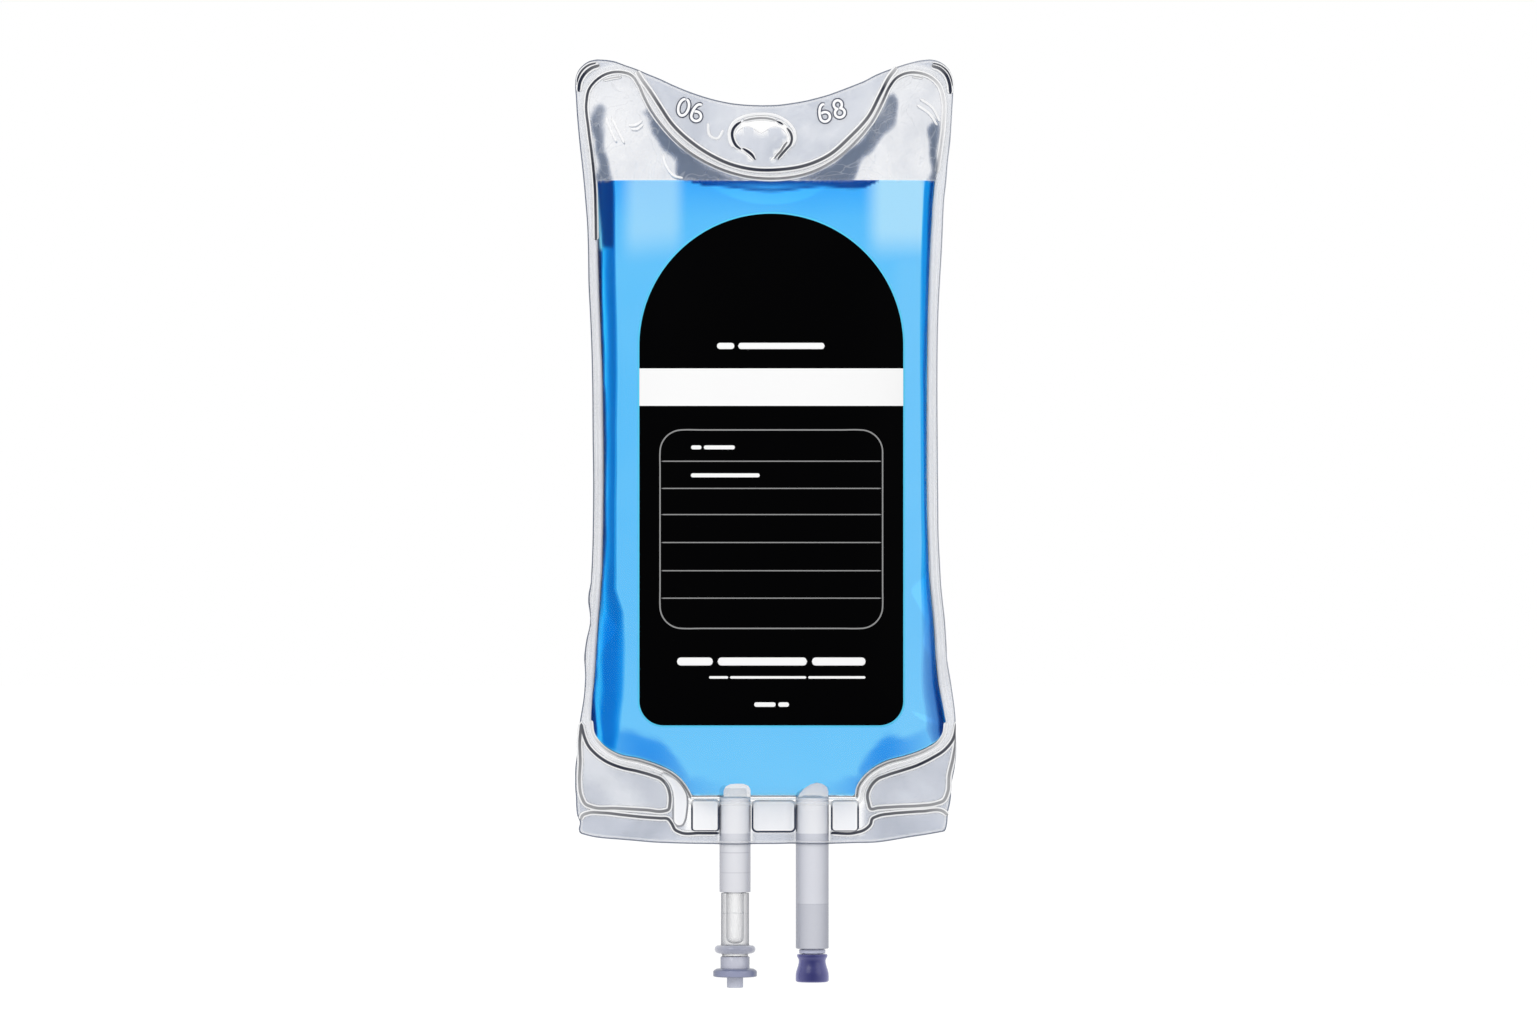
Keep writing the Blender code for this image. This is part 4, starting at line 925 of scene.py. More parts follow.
def headspace_shade(x, z):
    """Painted shade on the film: a dark patch under the smile weld, and dark streaks beside both side welds,
    where the steeply rising film looks dark.
    """
    shade = np.zeros_like(x)
    x = x + 0.8 * MM * np.sin(z / MM / 3.9 + x / MM / 2.9) + 0.35 * MM * np.sin(z / MM / 1.7 - x / MM / 4.3)
    for ring, strength in ((SMILE_SHADE_PATCH, 0.9), (LEFT_SHADE_STREAK, 0.85), (RIGHT_SHADE_STREAK, 0.95)):
        shade = np.maximum(shade, strength * within(ring, x, z))
    return shade


def film_values(points, inside):
    """Named values of the film at points: distances in millimetres, haze, painted shade, wrinkles and
    wetness.
    """
    x, z = points[..., 0], points[..., 1]
    mx, mz, depth_in = x / MM, z / MM, inside / MM
    dry = smoothstep(-0.5 * MM, 0.5 * MM, z - FLUID_LEVEL)
    chamber = smoothstep(-0.2, 0.4, depth_in)
    # The shade is painted shade in the headspace, plus a darker tone over the foot weld; it also makes the
    # film less clear there.
    shade = chamber * dry * headspace_shade(x, z)
    tab = (1 - chamber) * smoothstep(-30, -10, mz) * (1 - smoothstep(64, 68, np.abs(mx)))
    foot = (1 - chamber) * (1 - smoothstep(-246, -240, mz))
    low = 1 - smoothstep(-264.3, -263.5, mz)
    ports = (1 - smoothstep(33.5, 36.5, np.abs(mx - 3.4))) * low * smoothstep(-278.8, -278.0, mz)
    for centre, diameter in TUBE_DIAMETERS.items():
        over = 1 - smoothstep(diameter / 2, diameter / 2 + 0.5 * MM, np.abs(x - centre))
        ports = np.maximum(ports, over * low)
    ribbon = np.maximum(0.45 * tab, 0.70 * foot) * (1 - smoothstep(3.0, 4.2, -depth_in))
    skirt = 1 - smoothstep(-272.0, -269.5, mz)
    reflection = bump(mx + 0.9 * mz, -293.0, 8.0) * (1 - smoothstep(-42.0, -38.0, mx)) * (1 - skirt)
    middle = 1 - smoothstep(34.0, 40.0, np.abs(mx - 3.4))
    foot_haze = 0.080 * foot * (1 - 0.9 * reflection) + 0.03 * skirt * (1 - middle)
    weld = (0.130 + 0.030 * tab + foot_haze) * (1 - 0.85 * ports) * (1 - ribbon)
    room = dry * (0.07 + 0.55 * shade) + (1 - dry) * 0.008
    right_edge = smoothstep(40, 60, mx) * smoothstep(-250, -235, mz)
    return {"inside_mm": depth_in, "from_edge_mm": distance_to(film_outline, x, z) / MM,
            "haze": (1 - chamber) * weld + chamber * room, "shade": np.clip(shade + 0.18 * foot, 0, 1),
            "wrinkle": chamber * dry * 0.9 + 0.25 * tab, "wet": (1 - dry) * smoothstep(-250, -242, mz),
            "foot": foot * (1 - ports), "edge_shade": 0.52 - 0.20 * right_edge}


def make_sheet(name, side, cutter):
    """One sheet of film: rings from its cut edge in to the chamber, and a grid over the chamber.

    The inner face stands off the weld plane by the film's depth, and the wall grows away from the chamber.
    """
    inner = chain(right_inner, left_inner[::-1])
    outer = chain(right_outer, left_outer[::-1])
    share = np.array([1.0, 0.97, 0.94, 0.88, 0.8, 0.68, 0.55, 0.42, 0.3, 0.2, 0.12, 0.06, 0.03, 0.0])
    share = share[:, None, None]
    band = share * outer[None] + (1 - share) * inner[None]
    grids, values = [], {}
    for points, sign in ((band, -1), (chamber_patch(), 1)):
        x, z = points[..., 0], points[..., 1]
        inside = sign * distance_to(chamber_outline, x, z)
        grids.append(np.stack([x, side * film_depth(x, z, inside), z], axis=-1))
        for label, value in film_values(points, inside).items():
            values.setdefault(label, []).append(value)
    mesh = make_mesh(name, grids, flipped=(0, 1) if side > 0 else (), values=values)
    sheet = add_piece(name, mesh, film, stands_for=(name.replace("_sheet", "_film"),))
    wall = sheet.modifiers.new("wall", "SOLIDIFY")
    wall.thickness = FILM
    wall.offset = 1.0
    carve(sheet, [cutter])


def make_eyelet_cutter():
    """A prism through both sheets: the opening over the tongue, and the slit down both of its sides."""
    half = [(11.6, -5.2), (10.9, -8.6), (7.6, -12.0), (4.0, -15.6)]
    over = [(-9.4, -2.0), (-5.2, -0.4), (0.0, 0.0), (5.2, -0.4), (9.4, -2.0)]
    rim = smooth_line(outline([(-x, z) for x, z in half[::-1]] + over + half), 61)
    tongue = smooth_line(outline([(1.0, -4.6), (3.2, -3.1), (5.0, -2.4), (8.0, -3.3), (10.2, -6.2),
                                  (10.2, -8.6), (7.0, -12.1), (3.5, -15.6)]), 30)
    ring = np.vstack([rim, tongue[::-1], [[0.0, -5.0 * MM]], tongue * [-1, 1]])
    return prism("eyelet_cutter", ring + [EYELET_X, 0.0], 0.005)


eyelet_cutter = make_eyelet_cutter()
make_sheet("front_sheet", -1, eyelet_cutter)
make_sheet("back_sheet", 1, eyelet_cutter)
discard([eyelet_cutter])


# Fluid

LEFT_SLOT = [
    (-5.8, -270.0), (-5.8, -261.0), (-6.6, -259.4), (-8.4, -258.6), (-11.0, -258.5), (-13.6, -258.7),
    (-15.4, -259.6), (-16.3, -261.4), (-16.4, -270.0),
]
RIGHT_SLOT = [
    (24.5, -270.0), (24.5, -261.6), (23.9, -259.9), (22.2, -258.6), (19.9, -258.1), (17.4, -258.9),
    (15.2, -260.4), (13.4, -262.4), (12.4, -265.0), (12.3, -270.0),
]
LEFT_STREAK_WIDTHS = [
    (-250, 9.0), (-240, 11.5), (-225, 12.4), (-205, 11.6), (-192, 10.0), (-183, 6.4), (-170, 5.8),
    (-150, 5.5), (-120, 5.7), (-80, 6.9), (-40, 7.3), (-24, 7.5),
]
RIGHT_STREAK_WIDTHS = [
    (-250, 2.0), (-238, 8.0), (-225, 7.4), (-205, 5.6), (-185, 4.0), (-165, 2.8), (-140, 2.6),
    (-110, 2.8), (-90, 3.2), (-70, 3.4), (-60, 3.6), (-40, 4.0), (-24, 4.2),
]


def fluid_values(x, z):
    """Named values of the fluid: shares of the side streaks' widths, deep and pale patches of painted shade
    and light, the painted reflection under the level, and heights.

    The upper left streak holds a dark patch of painted shade, whose left border slants, and a thin pale
    sliver of painted highlight beside it.
    """
    mx, mz = x / MM, z / MM
    side_left_x, side_right_x = sides_at(z)
    left = (mx - side_left_x / MM) / np.interp(mz, *np.array(LEFT_STREAK_WIDTHS, float).T)
    right = (side_right_x / MM - mx) / np.interp(mz, *np.array(RIGHT_STREAK_WIDTHS, float).T)
    foot = (z - foot_height(x)) / MM
    over_foot = 8.5 + 4.5 * bump(mx, -48.0, 14.0) + 3.5 * bump(mx, 46.0, 11.0) + 0.8 * np.sin(mx / 2.3)
    deep = np.maximum(bump(mx, -46.0, 20.0), bump(mx, 46.0, 16.0))
    deep *= 1 - smoothstep(0.72 * over_foot, over_foot, foot)
    # A dark band just under the level: painted reflection of the level seen from below.
    level_reflection = (2.4 + 2.8 * bump(mx, 2.0, 15.0) + 1.3 * bump(mx, 34.0, 8.0)) * smoothstep(-34.0, -22.0, mx)
    level_reflection *= 1 - smoothstep(38.0, 46.0, mx)
    share = (FLUID_LEVEL - z) / MM / np.maximum(level_reflection, 0.05)
    hollow = bump(share, 0.52, 0.20) * bump(mx, 2.0, 15.0)
    level_reflection = (1 - smoothstep(0.75, 1.0, share)) * (level_reflection > 0.3) * (1 - 0.6 * hollow)
    upper = smoothstep(-58.0, -42.0, mz - 0.12 * (mx + 45.0) * (mx < 0))
    pale = 0.72 * smoothstep(-58.0, -50.0, mx) * (1 - smoothstep(-37.0, -30.0, mx))
    pale = upper * (pale + smoothstep(37.0, 46.0, mx) * (1 - smoothstep(60.5, 63.0, mx)))
    pale = np.maximum(pale, 0.14 * smoothstep(46.0, 54.0, mx))
    risen = smoothstep(-236.0, -232.0, mz)
    border = 0.10 + 0.24 * np.clip((-24.0 - mz) / 26.0, 0, 1)
    night = smoothstep(-51.0, -48.5, mz) * smoothstep(border - 0.05, border + 0.05, left)
    night *= 1 - smoothstep(0.86, 0.98, left)
    sliver = smoothstep(-51.5, -49.5, mz) * bump(left, border - 0.10, 0.07)
    return {"strip_left": left, "strip_right": right, "deep": 0.88 * np.clip(deep, 0, 1), "level_reflection": level_reflection,
            "pale": np.clip(pale, 0, 1), "from_foot_mm": (1 - risen) * foot + risen * 40.0,
            "night": 0.95 * night, "sliver": 0.8 * sliver,
            "height_share": np.clip((mz + 264.0) / 240.0, 0, 1)}


def make_fluid():
    """The fluid: a grid over the chamber up to its level, mirrored to the back, with a flat top.

    The grid lies a little inside the film. Its depth is the film's, and it closes on the plane of the weld
    along the foot and the sides. Two slots leave room for the upper ends of the tubes.
    """
    level_left, level_right = sides_at(FLUID_LEVEL)
    low = PORT_STEPS + FOOT_STEPS
    bottom = chain(left_inner[:low + 1][::-1], right_inner[:low + 1])
    sides = []
    for line, end in ((side_right, level_right), (side_left, level_left)):
        rising = line[line[:, 1] < FLUID_LEVEL]
        sides.append(smooth_line(np.vstack([rising[::3], [[end, FLUID_LEVEL]]]), 171, closer_at_top(171)))
    top = np.stack([np.linspace(level_left, level_right, len(bottom)), np.full(len(bottom), FLUID_LEVEL)],
                   axis=1)
    grid = coons(bottom, sides[0], top, sides[1])
    x, z = grid[..., 0] * FLUID_FIT_X, grid[..., 1] * FLUID_FIT_Z
    z[-1] = FLUID_LEVEL
    depth = FLUID_FIT_Y * crown_depth(grid[..., 0], grid[..., 1])
    depth[0] = 0.0
    depth[:, [0, -1]] = 0.0
    front, back = [np.stack([x, side * depth, z], axis=-1) for side in (-1, 1)]
    lid = np.stack([front[-1] * (1 - s) + back[-1] * s for s in np.linspace(0, 1, 13)])
    values = {}
    for points in (front, back, lid):
        for label, value in fluid_values(points[..., 0], points[..., 2]).items():
            values.setdefault(label, []).append(value)
    mesh = make_mesh("fluid_body", [front, back, lid], flipped=(1,), values=values)
    fluid = add_piece("fluid_body", mesh, fluid_tint, stands_for=("fluid",))
    slots = [prism("tube_slot", outline(ring), 0.05) for ring in (LEFT_SLOT, RIGHT_SLOT)]
    carve(fluid, slots)
    discard(slots)


make_fluid()


# Label

LABEL_X, LABEL_RADIUS, LABEL_SHOULDER_Z = 2.3, 51.45, -88.0
LABEL_FOOT_Z, LABEL_CORNER = -236.1, 9.4


def signed_inside(x, z):
    """Distance to the chamber's outline, positive inside it."""
    distance = distance_to(chamber_outline, x, z)
    top = np.interp(x, np.maximum.accumulate(top_line[:, 0]), top_line[:, 1])
    left, right = sides_at(z)
    enclosed = (z > foot_height(x)) & (z < top) & (x > left) & (x < right)
    return np.where(enclosed, distance, -distance)


def front_y(x, z, lift=0.0):
    """The Y of the front sheet's outer face at points, less a lift towards the viewer."""
    return -(film_depth(x, z, signed_inside(x, z)) + FILM + lift)


def seen_at(x, z, lift):
    """Points on the front sheet, less a lift, in line with points of the weld plane as seen from the front.

    The bulge brings the sheet nearer, so each point moves in towards the middle of the view by its share.
    """
    near_x, near_z = x, z
    for turn in range(3):
        y = front_y(near_x, near_z, lift)
        share = 1 + y / VIEW_DISTANCE
        near_x, near_z = VIEW_X + (x - VIEW_X) * share, VIEW_Z + (z - VIEW_Z) * share
    return np.stack([near_x, y, near_z], axis=-1)


def print_layer(name, rows, half, lift, thickness, finish, node, columns=60):
    """A thin layer on the front sheet about the label's middle, with its half width at each height in rows.

    Its back follows the sheet at the lift, its face stands a thickness further out, and both meet at the rim.
    """
    u = np.linspace(0, 1, columns)[None]
    left, right = [(LABEL_X + side * half[:, None]) * MM for side in (-1, 1)]
    z = np.repeat(rows[:, None] * MM, columns, axis=1)
    behind = seen_at(left * (1 - u) + right * u, z, lift * MM)
    face = behind - [0.0, thickness * MM, 0.0]
    rims = [np.stack([face[0], behind[0]]), np.stack([behind[-1], face[-1]]),
            np.stack([face[:, -1], behind[:, -1]]), np.stack([behind[:, 0], face[:, 0]])]
    mesh = make_mesh(name, [face, behind] + rims, flipped=(0,), outward=True, sharp=40)
    add_piece(name, mesh, finish, stands_for=(node,))


def label_half_width(z):
    """Half width of the label: a half circle above, straight sides, and rounded lower corners."""
    arch = np.sqrt(np.clip(LABEL_RADIUS**2 - np.maximum(z - LABEL_SHOULDER_Z, 0.0) ** 2, 0.0, None))
    drop = np.clip(LABEL_FOOT_Z + LABEL_CORNER - z, 0.0, LABEL_CORNER)
    return arch - (LABEL_CORNER - np.sqrt(LABEL_CORNER**2 - drop**2))


def label_rows():
    """Heights up the label in millimetres, closer together where its outline is round."""
    arch = LABEL_SHOULDER_Z + LABEL_RADIUS * np.sin(np.linspace(math.pi / 2, 0, 60))
    straight = np.linspace(LABEL_SHOULDER_Z, LABEL_FOOT_Z + LABEL_CORNER, 110)[1:]
    corner = LABEL_FOOT_Z + LABEL_CORNER * (1 - np.sin(np.linspace(0, math.pi / 2, 16)))[1:]
    return np.concatenate([arch, straight, corner])[::-1]


rows = label_rows()
half = label_half_width(rows)
half[-1] = 0.0
print_layer("label_print", rows, half, 0.25, 0.10, black_ink, "label")
band_rows = np.linspace(-111.5, -96.9, 14)
print_layer("white_band", band_rows, label_half_width(band_rows) - 0.02, 0.35, 0.06, white_ink, "label_band")


# Raised lines, pads and printed lines on the sheets

def drawn_in(x):
    """Past 73.4 mm from the middle, x is drawn in and never passes 74.4 mm: 74.4 - exp(73.4 - x)."""
    over = np.maximum(np.abs(x) / MM - 73.4, 0.0)
    return np.where(over > 0, np.sign(x) * (74.4 - np.exp(-over)) * MM, x)


def bead(name, line, width, height, finish, side=-1, closed=False, lift=0.0, weights=((0, 1), (1, 1)),
         taper=1.0, count=None, printed=False):
    """A low bead along a line on a sheet: its section is a half ellipse, height * sqrt(1 - t^2).

    An open bead narrows to nothing over its last stretch, as a quarter circle does, so both ends are shut.
    The value across runs from -1 to 1 over its width, and weight says how dark the painted shade of its core
    is.
    """
    knots = np.asarray(line, float) * MM
    width, height, lift = width * MM, height * MM, lift * MM
    length = np.linalg.norm(np.diff(knots, axis=0), axis=1).sum()
    count = count or max(24, int(length / (0.5 * MM)))
    path = smooth_line(knots, count)
    share = np.linspace(0, 1, count)
    if closed:
        along = np.roll(path[:-1], -1, axis=0) - np.roll(path[:-1], 1, axis=0)
        along = np.vstack([along, along[:1]])
        end = np.ones(count)
    else:
        along = np.gradient(path, axis=0)
        from_end = np.minimum(share, 1 - share) * length / (taper * width / 2)
        end = np.sqrt(1 - (1 - np.clip(from_end, 0, 1)) ** 2)
    along /= np.linalg.norm(along, axis=1)[:, None]
    normal = np.stack([-along[:, 1], along[:, 0]], axis=1)
    t = np.linspace(-1, 1, 13)
    spot = path[:, None] + t[None, :, None] * (width / 2 * end)[:, None, None] * normal[:, None]
    if printed:
        spot = seen_at(spot[..., 0], spot[..., 1], 0.0)[..., [0, 2]]
    x, z = drawn_in(spot[..., 0]), spot[..., 1]
    base = -front_y(x, z) + lift
    rise = height * np.sqrt(np.clip(1 - t**2, 0, 1))[None] * end[:, None]
    top = np.stack([x, side * (base + rise), z], axis=-1)
    under = np.stack([x, side * base, z], axis=-1)
    under[:, 1:-1, 1] -= side * 0.01 * MM * end[:, None]
    across = np.repeat(t[None], count, axis=0)
    weight = np.repeat(np.interp(share, *np.array(weights, float).T)[:, None], len(t), axis=1)
    values = {"across": [across, across], "weight": [weight, weight]}
    add_piece(name, make_mesh(name, [top, under], flipped=(1,), values=values, outward=True), finish)


def panel(name, ring, height, side, outline_shade):
    """A raised pad: rings shrink from its outline to its middle, and rise over the outer 0.7 mm.

    Its outline is painted shadow, dark round the foot and the sides, and fades towards the top.
    """
    outer = np.vstack([smooth_line(ring, 160)[:-1], np.asarray(ring[:1], float)]) * MM
    middle = (outer.min(axis=0) + outer.max(axis=0)) / 2
    shares = np.array([1.0, 0.985, 0.96, 0.92, 0.86, 0.75, 0.55, 0.3, 0.0])[:, None, None]
    spot = middle + shares * (outer[None] - middle)
    x, z = spot[..., 0], spot[..., 1]
    rim = distance_to(outer, x, z) / MM
    base = -front_y(x, z)
    top_share = smoothstep(0.72, 0.95, (z - z.min()) / np.ptp(z))
    top = np.stack([x, side * (base + height * MM * smoothstep(0.0, 0.7, rim)), z], axis=-1)
    under = np.stack([x, side * (base - 0.01 * MM * (rim > 0)), z], axis=-1)
    values = {"from_rim_mm": [rim, rim], "outline_shade": [outline_shade * (1 - 0.75 * top_share)] * 2}
    add_piece(name, make_mesh(name, [top, under], flipped=(1,), values=values, outward=True), pad)


def rounded_box(x0, x1, z0, z1, radius, steps=8):
    """Points round a box with round corners, and along its straight sides, back to the first point."""
    points = []
    for cx, cz, start in ((x1 - radius, z1 - radius, 0), (x0 + radius, z1 - radius, 90),
                          (x0 + radius, z0 + radius, 180), (x1 - radius, z0 + radius, 270)):
        turns = np.radians(np.linspace(start, start + 90, steps))
        points.append(np.stack([cx + radius * np.cos(turns), cz + radius * np.sin(turns)], axis=1))
    joined = []
    for corner, following in zip(points, points[1:] + points[:1]):
        share = np.linspace(0, 1, 10)[1:-1, None]
        joined += [corner, corner[-1] * (1 - share) + following[0] * share]
    return np.vstack(joined + [points[0][:1]])


left_run = side_left[side_left[:, 1] > -49 * MM]
left_run[:, 0] -= 0.5 * MM * smoothstep(-0.001, -0.020, left_run[:, 1])
chamber_line = chain(left_run, top_line, side_right[side_right[:, 1] > -31 * MM][::-1]) / MM

# How dark the painted shade in the core of a line is, as pairs of a share of its length and a darkness
POCKET_DARK = ((0, 0.9), (0.2, 1.0), (0.45, 0.8), (0.6, 0.7), (0.8, 0.6), (1, 0.9))
SKIRT_DARK = ((0, 0.5), (0.2, 0.8), (0.5, 0.9), (1, 1.0))
CORNER_DARK = ((0, 1.0), (0.5, 1.0), (1, 0.8))
RIM_DARK = ((0, 1.0), (1, 0.9))
FOOT_DARK = ((0, 0.7), (0.35, 0.6), (0.7, 0.3), (1, 0.1))
# Name, line, width, height, taper and darkness. A line that ends where it starts is a ring.
WELD_LINES = [
    ("smile_line", SMILE_LINE, 2.9, 0.35, 1.0,
     ((0, 0.4), (0.12, 0.9), (0.3, 0.9), (0.5, 1.0), (0.8, 0.8), (0.93, 1.0), (1, 0.4))),
    ("smile_second", SMILE_SECOND, 1.4, 0.30, 1.0, ((0, 1), (1, 1))),
    ("chamber_line", chamber_line[::4], 2.4, 0.30, 1.0,
     ((0, 0.9), (0.08, 1.0), (0.18, 0.9), (0.24, 1.0), (0.30, 0.5), (0.48, 0.8), (0.74, 0.5), (0.79, 1.0),
      (0.84, 0.6), (0.88, 0.2), (1, 0.15))),
    ("left_pocket", POCKET_LEFT, 2.7, 0.35, 1.0, POCKET_DARK),
    ("right_pocket", POCKET_RIGHT, 2.7, 0.35, 1.0, POCKET_DARK),
    ("left_skirt_line", SKIRT_LINE_LEFT, 2.6, 0.3, 1.0, SKIRT_DARK),
    ("right_skirt_line", SKIRT_LINE_RIGHT, 2.6, 0.3, 1.0, SKIRT_DARK),
    ("left_corner", CORNER_FACET_LEFT, 2.9, 0.25, 1.0, CORNER_DARK),
    ("right_corner", CORNER_FACET_RIGHT, 2.9, 0.25, 1.0, CORNER_DARK),
    ("left_corner_rim", CORNER_RIM_LEFT, 1.9, 0.2, 1.0, RIM_DARK),
    ("right_corner_rim", CORNER_RIM_RIGHT, 1.9, 0.2, 1.0, RIM_DARK),
]
WELD_LINES += [("horn_shade_streak_%d" % number, line, 1.5, 0.2, 2.4, ((0, 0.45), (1, 0.45)))
               for number, line in enumerate(HORN_SHADE_STREAKS)]
WELD_LINES += [("film_crease_highlight_%d" % number, line, 1.1, 0.25, 3.0, ((0, 0), (1, 0)))
               for number, line in enumerate(CREASE_HIGHLIGHTS)]
WELD_LINES += [("left_foot_line", FOOT_LEFT, 1.9, 0.25, 1.0, FOOT_DARK),
               ("right_foot_line", FOOT_RIGHT, 1.9, 0.25, 1.0, FOOT_DARK)]
# Name, line, width and darkness
# The halo has no dark core: it is only a ring of painted highlight.
EYELET_LINES = [
    ("halo", EYELET_HALO, 1.3, 0.0), ("outer", EYELET_OUTER, 2.6, 1.0),
    ("left_end", EYELET_LEFT_END, 2.6, 1.0), ("top", EYELET_TOP, 2.0, 0.65),
    ("right_top", EYELET_RIGHT_TOP, 2.2, 1.0), ("right", EYELET_RIGHT, 2.3, 0.95),
    ("right_end", EYELET_RIGHT_END, 2.0, 0.8),
]
# Name, outline, height, and how dark the painted shadow of the outline is
PADS = [
    ("left_pad", rounded_box(-29.0, -17.9, -277.7, -265.0, 1.6), 0.5, 1.0),
    ("centre_pad", rounded_box(-5.4, 11.9, -277.9, -265.2, 2.2), 0.5, 1.0),
    ("right_pad", rounded_box(25.5, 36.5, -277.8, -265.2, 1.8), 0.5, 1.0),
    ("left_post", POST_LEFT, 0.6, 0.6),
]
for side, face in ((-1, "front"), (1, "back")):
    for name, line, width, height, taper, dark in WELD_LINES:
        bead("%s_%s" % (name, face), line, width, height, weld_line, side, weights=dark, taper=taper,
             closed=tuple(line[0]) == tuple(line[-1]))
    for name, ring, height, outline_shade in PADS:
        panel("%s_%s" % (name, face), ring, height, side, outline_shade)
    for name, line, width, dark in EYELET_LINES:
        bead("eyelet_%s_%s" % (name, face), line, width, 0.3, weld_line, side, weights=((0, dark), (1, dark)),
             taper=2.4)


def arc(cx, cz, rx, rz, start, stop, count=30):
    """Points on an ellipse about (cx, cz), from one angle in degrees to another."""
    turns = np.radians(np.linspace(start, stop, count))
    return np.stack([cx + rx * np.cos(turns), cz + rz * np.sin(turns)], axis=1)


# Strokes of plain digits, one unit high
DIGIT_STROKES = {
    "0": [arc(0, 0, 0.30, 0.5, 90, 450, 36)],
    "6": [np.vstack([arc(0.05, -0.2, 0.34, 0.72, 70, 170, 14), arc(0, -0.22, 0.29, 0.28, 180, 500)])],
    "8": [arc(0, 0.24, 0.24, 0.25, -90, 270), arc(0, -0.26, 0.29, 0.27, 90, 450)],
}
DIGIT_HEIGHT = 6.6
for number, (digit, x, z, tilt) in enumerate((("0", -31.9, 4.9, -17), ("6", -26.6, 2.8, -17),
                                              ("6", 22.9, 2.6, 14), ("8", 28.6, 4.4, 14))):
    turn = math.radians(tilt)
    spin = np.array([[math.cos(turn), math.sin(turn)], [-math.sin(turn), math.cos(turn)]])
    for part, stroke in enumerate(DIGIT_STROKES[digit]):
        bead("mould_digit_%d_%d" % (number, part), (stroke * DIGIT_HEIGHT) @ spin + [x, z], 2.1, 0.45,
             raised_digit, count=60)

foot_rim = np.stack([np.linspace(LABEL_X - half[0], LABEL_X + half[0], 40), np.full(40, rows[0])], axis=1)
loop = np.vstack([np.stack([LABEL_X - half, rows], axis=1)[::-1], foot_rim[1:-1],
                  np.stack([LABEL_X + half, rows], axis=1)])
keep = np.concatenate([[True], np.linalg.norm(np.diff(loop, axis=0), axis=1) > 0.4])
# The cyan bead round the label is painted light, not print.
bead("label_rim_highlight", loop[keep], 1.4, 0.05, cyan_rim_highlight, closed=True, lift=0.14, count=760, printed=True)
bead("form_frame", rounded_box(-41.1, 45.7, -198.3, -120.9, 8.6, 12), 0.55, 0.05, grey_ink,
     closed=True, lift=0.36, count=400, printed=True)
for number, z in enumerate((-133.1, -143.7, -153.9, -164.8, -175.8, -186.5)):
    bead("form_line_%d" % number, np.linspace((-41.0, z), (45.6, z), 40), 0.45, 0.05, grey_ink, lift=0.36,
         taper=0.5, count=70, printed=True)


def word_bars(name, x0, x1, z0, z1, shares):
    """A stand-in for a printed line: plain bars with round ends, one for each share of its length."""
    gap = 0.55 * (z1 - z0)
    scale = (x1 - x0 - gap * (len(shares) - 1)) / sum(shares)
    left, middle_z = x0, (z0 + z1) / 2
    for number, share in enumerate(shares):
        right = left + share * scale
        line = [(left, middle_z), ((left + right) / 2, middle_z), (right, middle_z)]
        bead("%s_%d" % (name, number), line, z1 - z0, 0.05, white_ink, lift=0.36, count=60, printed=True)
        left = right + gap


word_bars("heading", -18.9, 23.2, -89.4, -86.9, (1, 5))
word_bars("field_name_a", -29.0, -11.9, -128.5, -126.9, (1, 3))
word_bars("field_name_b", -29.2, -2.1, -139.4, -137.8, (1,))
word_bars("title", -34.5, 39.1, -212.8, -209.6, (2, 5, 3))
word_bars("title_foot", -22.0, 39.1, -217.9, -216.9, (1, 4, 3))
word_bars("volume", -4.4, 9.2, -228.9, -227.1, (2, 1))


# Ports

def turned(name, profile, centre_x, finish, stands_for=(), body="bag", slanted=0):
    """Turn a profile of (radius, height) in millimetres about a port's axis, and shut both poles.

    The first slanted points form an end that is cut on a slant, and drop towards the left.
    """
    radius, z = np.array(profile, float).T * MM
    turn = np.linspace(0, 2 * math.pi, TURNED_STEPS + 1)[:, None]
    turn[-1] = 0.0
    x = radius[None] * np.cos(turn)
    slope = SLANT * smoothstep(-268.0 * MM, -259.5 * MM, z) * (np.arange(len(z)) < slanted)
    drop = np.clip(0.8 * MM - x, 0, None) * slope[None]
    grid = np.stack([centre_x + x, radius[None] * np.sin(turn), z[None] - drop], axis=-1)
    add_piece(name, make_mesh(name, [grid], outward=True, sharp=38), finish, stands_for, body)


def fillet(radius, z, size, start, stop, steps=7):
    """Points on a quarter circle of the given size about (radius, z), from one angle to another."""
    turns = np.radians(np.linspace(start, stop, steps))
    return [(radius + size * math.cos(a), z + size * math.sin(a)) for a in turns]


TURNED_STEPS, SLANT = 96, 0.42
turned("injection_tube",
       [(0, -258.4)] + fillet(3.7, -260.8, 2.4, 90, 0) + [(6.1, -270)] + fillet(5.8, -300.8, 0.3, 0, -90, 4)
       + [(4.9, -301.1), (4.7, -301.0), (4.7, -262.0)] + fillet(3.7, -261.4, 0.8, 0, 90, 4) + [(0, -260.6)],
       INJECTION_X, milky, stands_for=("injection_port_tube",))
turned("injection_body",
       [(3.5, -285.6), (4.4, -285.6), (4.4, -301.4)] + fillet(5.2, -301.7, 0.3, 90, 0, 4) + [(5.5, -321.6)]
       + fillet(6.4, -323.4, 1.6, 115, -115, 13) + [(5.6, -325.2), (5.1, -325.4), (5.0, -327.7), (0, -327.7),
                                                    (0, -321.2), (1.4, -321.1), (2.4, -320.7), (3.1, -320.0),
                                                    (3.5, -318.9), (3.5, -285.6)],
       INJECTION_X, clear, stands_for=("injection_port_body",))
turned("injection_bead", fillet(6.4, -323.4, 1.62, 150, 510, 25), INJECTION_X, ring_grey)
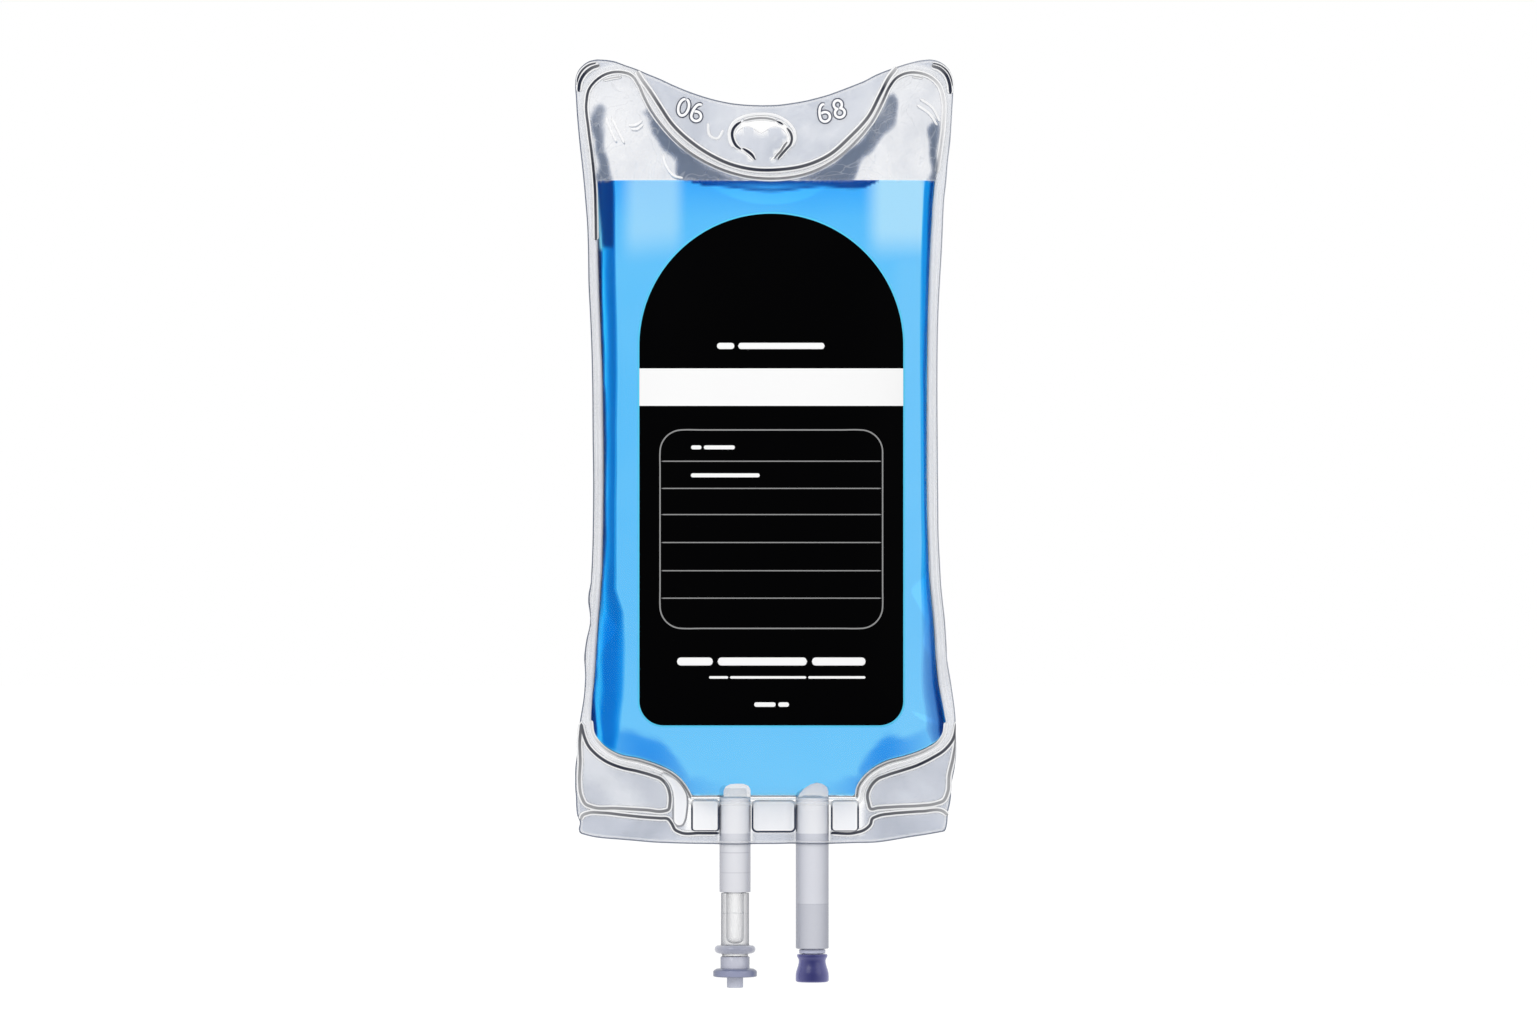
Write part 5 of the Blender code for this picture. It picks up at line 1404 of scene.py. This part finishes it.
turned("injection_collar",
       [(5.1, -326.2), (5.5, -326.2), (5.7, -326.5), (5.7, -330.7), (7.4, -331.0), (8.3, -331.6)]
       + fillet(8.1, -332.2, 0.5, 60, 0, 4) + fillet(8.1, -333.6, 0.5, 0, -60, 4)
       + [(7.6, -334.2), (3.5, -334.2), (3.5, -332.1), (4.1, -332.1), (4.1, -328.0), (5.1, -328.0),
          (5.1, -326.2)],
       INJECTION_X, flange_grey, stands_for=("injection_port_collar",))
turned("injection_septum",
       [(0, -328.5), (3.8, -328.5), (3.8, -331.8), (3.2, -331.8), (3.15, -337.9)]
       + fillet(2.75, -338.0, 0.4, 0, -90, 4) + [(1.6, -338.4), (1.2, -338.1), (0, -338.0)],
       INJECTION_X, rubber, stands_for=("injection_port_septum",))
turned("spike_body",
       [(0, -316.0), (3.1, -316.0), (3.1, -305.4), (4.6, -305.4), (4.6, -323.4), (5.0, -323.4)]
       + fillet(4.9, -323.8, 0.3, 90, 0, 4) + [(5.2, -324.6)] + fillet(4.9, -324.7, 0.3, 0, -90, 4)
       + [(4.0, -325.0), (4.0, -332.8), (3.1, -332.8), (3.1, -316.6), (0, -316.6)],
       SPIKE_X, neck_grey, stands_for=("spike_port_body",))
cap_side = smooth_line([(5.95, -326.2), (5.3, -327.5), (5.45, -329.4), (6.0, -331.2), (6.4, -332.8),
                        (6.5, -334.4)], 20)
turned("pull_cap",
       [(4.3, -325.3), (5.5, -325.3)] + fillet(5.6, -325.65, 0.35, 90, 0, 4) + cap_side.tolist()
       + fillet(5.55, -335.25, 0.95, 10, -90, 6)
       + [(3.0, -336.2), (2.6, -336.0), (0, -336.0), (0, -333.1), (4.3, -333.1), (4.3, -325.3)],
       SPIKE_X, violet, stands_for=("spike_port_cap",), body="pull_off_cap")
turned("spike_tube",
       [(0, -257.9), (2.0, -257.9), (4.0, -257.95), (5.4, -258.2), (6.1, -258.8), (6.4, -259.8),
        (6.45, -262.0), (6.45, -300.0), (6.45, -322.8), (6.2, -323.1), (5.0, -323.1), (4.95, -322.9),
        (4.95, -264.6), (3.4, -263.4), (0, -263.2)],
       SPIKE_X, sleeve, stands_for=("spike_port_tube",), slanted=9)


# Stage, light and camera

def make_stage():
    """A plain pale floor below the hanging bag, which shows white and keeps a soft shadow."""
    mesh = bpy.data.meshes.new("floor")
    size, z = 14.0, -0.46
    corners = [(-size, -size, z), (size, -size, z), (size, size, z), (-size, size, z)]
    mesh.from_pydata(corners, [], [(0, 1, 2, 3)])
    floor = bpy.data.objects.new("floor", mesh)
    bpy.context.scene.collection.objects.link(floor)
    made, graph, shader = new_material("pale_floor", roughness=0.9, specular=0.0)
    shader.inputs["Base Color"].default_value = (0.9, 0.9, 0.9, 1.0)
    white = graph.add("ShaderNodeEmission")
    white.inputs["Color"].default_value = (1.0, 1.0, 1.0, 1.0)
    white.inputs["Strength"].default_value = 1.15
    path = graph.add("ShaderNodeLightPath")
    camera_share = graph.times(path.outputs["Is Camera Ray"], 0.82)
    seen = graph.most(path.outputs["Is Glossy Ray"], path.outputs["Is Transmission Ray"], camera_share)
    blend = graph.add("ShaderNodeMixShader")
    graph.feed(blend.inputs[0], seen)
    graph.feed(blend.inputs[1], shader.outputs[0])
    graph.feed(blend.inputs[2], white.outputs[0])
    output = graph.tree.nodes["Material Output"]
    graph.feed(output.inputs["Surface"], blend.outputs[0])
    mesh.materials.append(made)


def make_world():
    """A white surround: full white where it is looked at, and a softer level where it lights the bag."""
    world = bpy.data.worlds.new("white_surround")
    world.use_nodes = True
    graph = Graph(world.node_tree)
    back = world.node_tree.nodes["Background"]
    back.inputs["Color"].default_value = (1.0, 1.0, 1.0, 1.0)
    path = graph.add("ShaderNodeLightPath")
    seen = graph.most(*[path.outputs["Is %s Ray" % kind] for kind in ("Camera", "Glossy", "Transmission")])
    graph.feed(back.inputs["Strength"], graph.step(seen, 0.0, 1.0, 0.72, 1.0))
    bpy.context.scene.world = world


def add_lamp(name, place, aim, size, power):
    lamp = bpy.data.lights.new(name, "AREA")
    lamp.shape = "DISK"
    lamp.size = size
    lamp.energy = power
    holder = bpy.data.objects.new(name, lamp)
    bpy.context.scene.collection.objects.link(holder)
    holder.location = place
    holder.rotation_euler = aim


make_stage()
make_world()
add_lamp("key_lamp", (-0.9, -1.5, 1.0), (math.radians(58), 0, math.radians(-31)), 1.2, 13.0)
add_lamp("fill_lamp", (1.3, -1.1, 0.4), (math.radians(72), 0, math.radians(50)), 1.2, 4.7)

camera = bpy.data.objects.new("camera", bpy.data.cameras.new("camera"))
camera.data.lens = 240.0
camera.data.sensor_width = 36.0
camera.data.clip_end = 60.0
camera.location = (VIEW_X, -VIEW_DISTANCE, VIEW_Z)
camera.rotation_euler = (math.radians(90), 0.0, 0.0)
bpy.context.scene.collection.objects.link(camera)
bpy.context.scene.camera = camera
bpy.context.scene.view_settings.view_transform = "Standard"
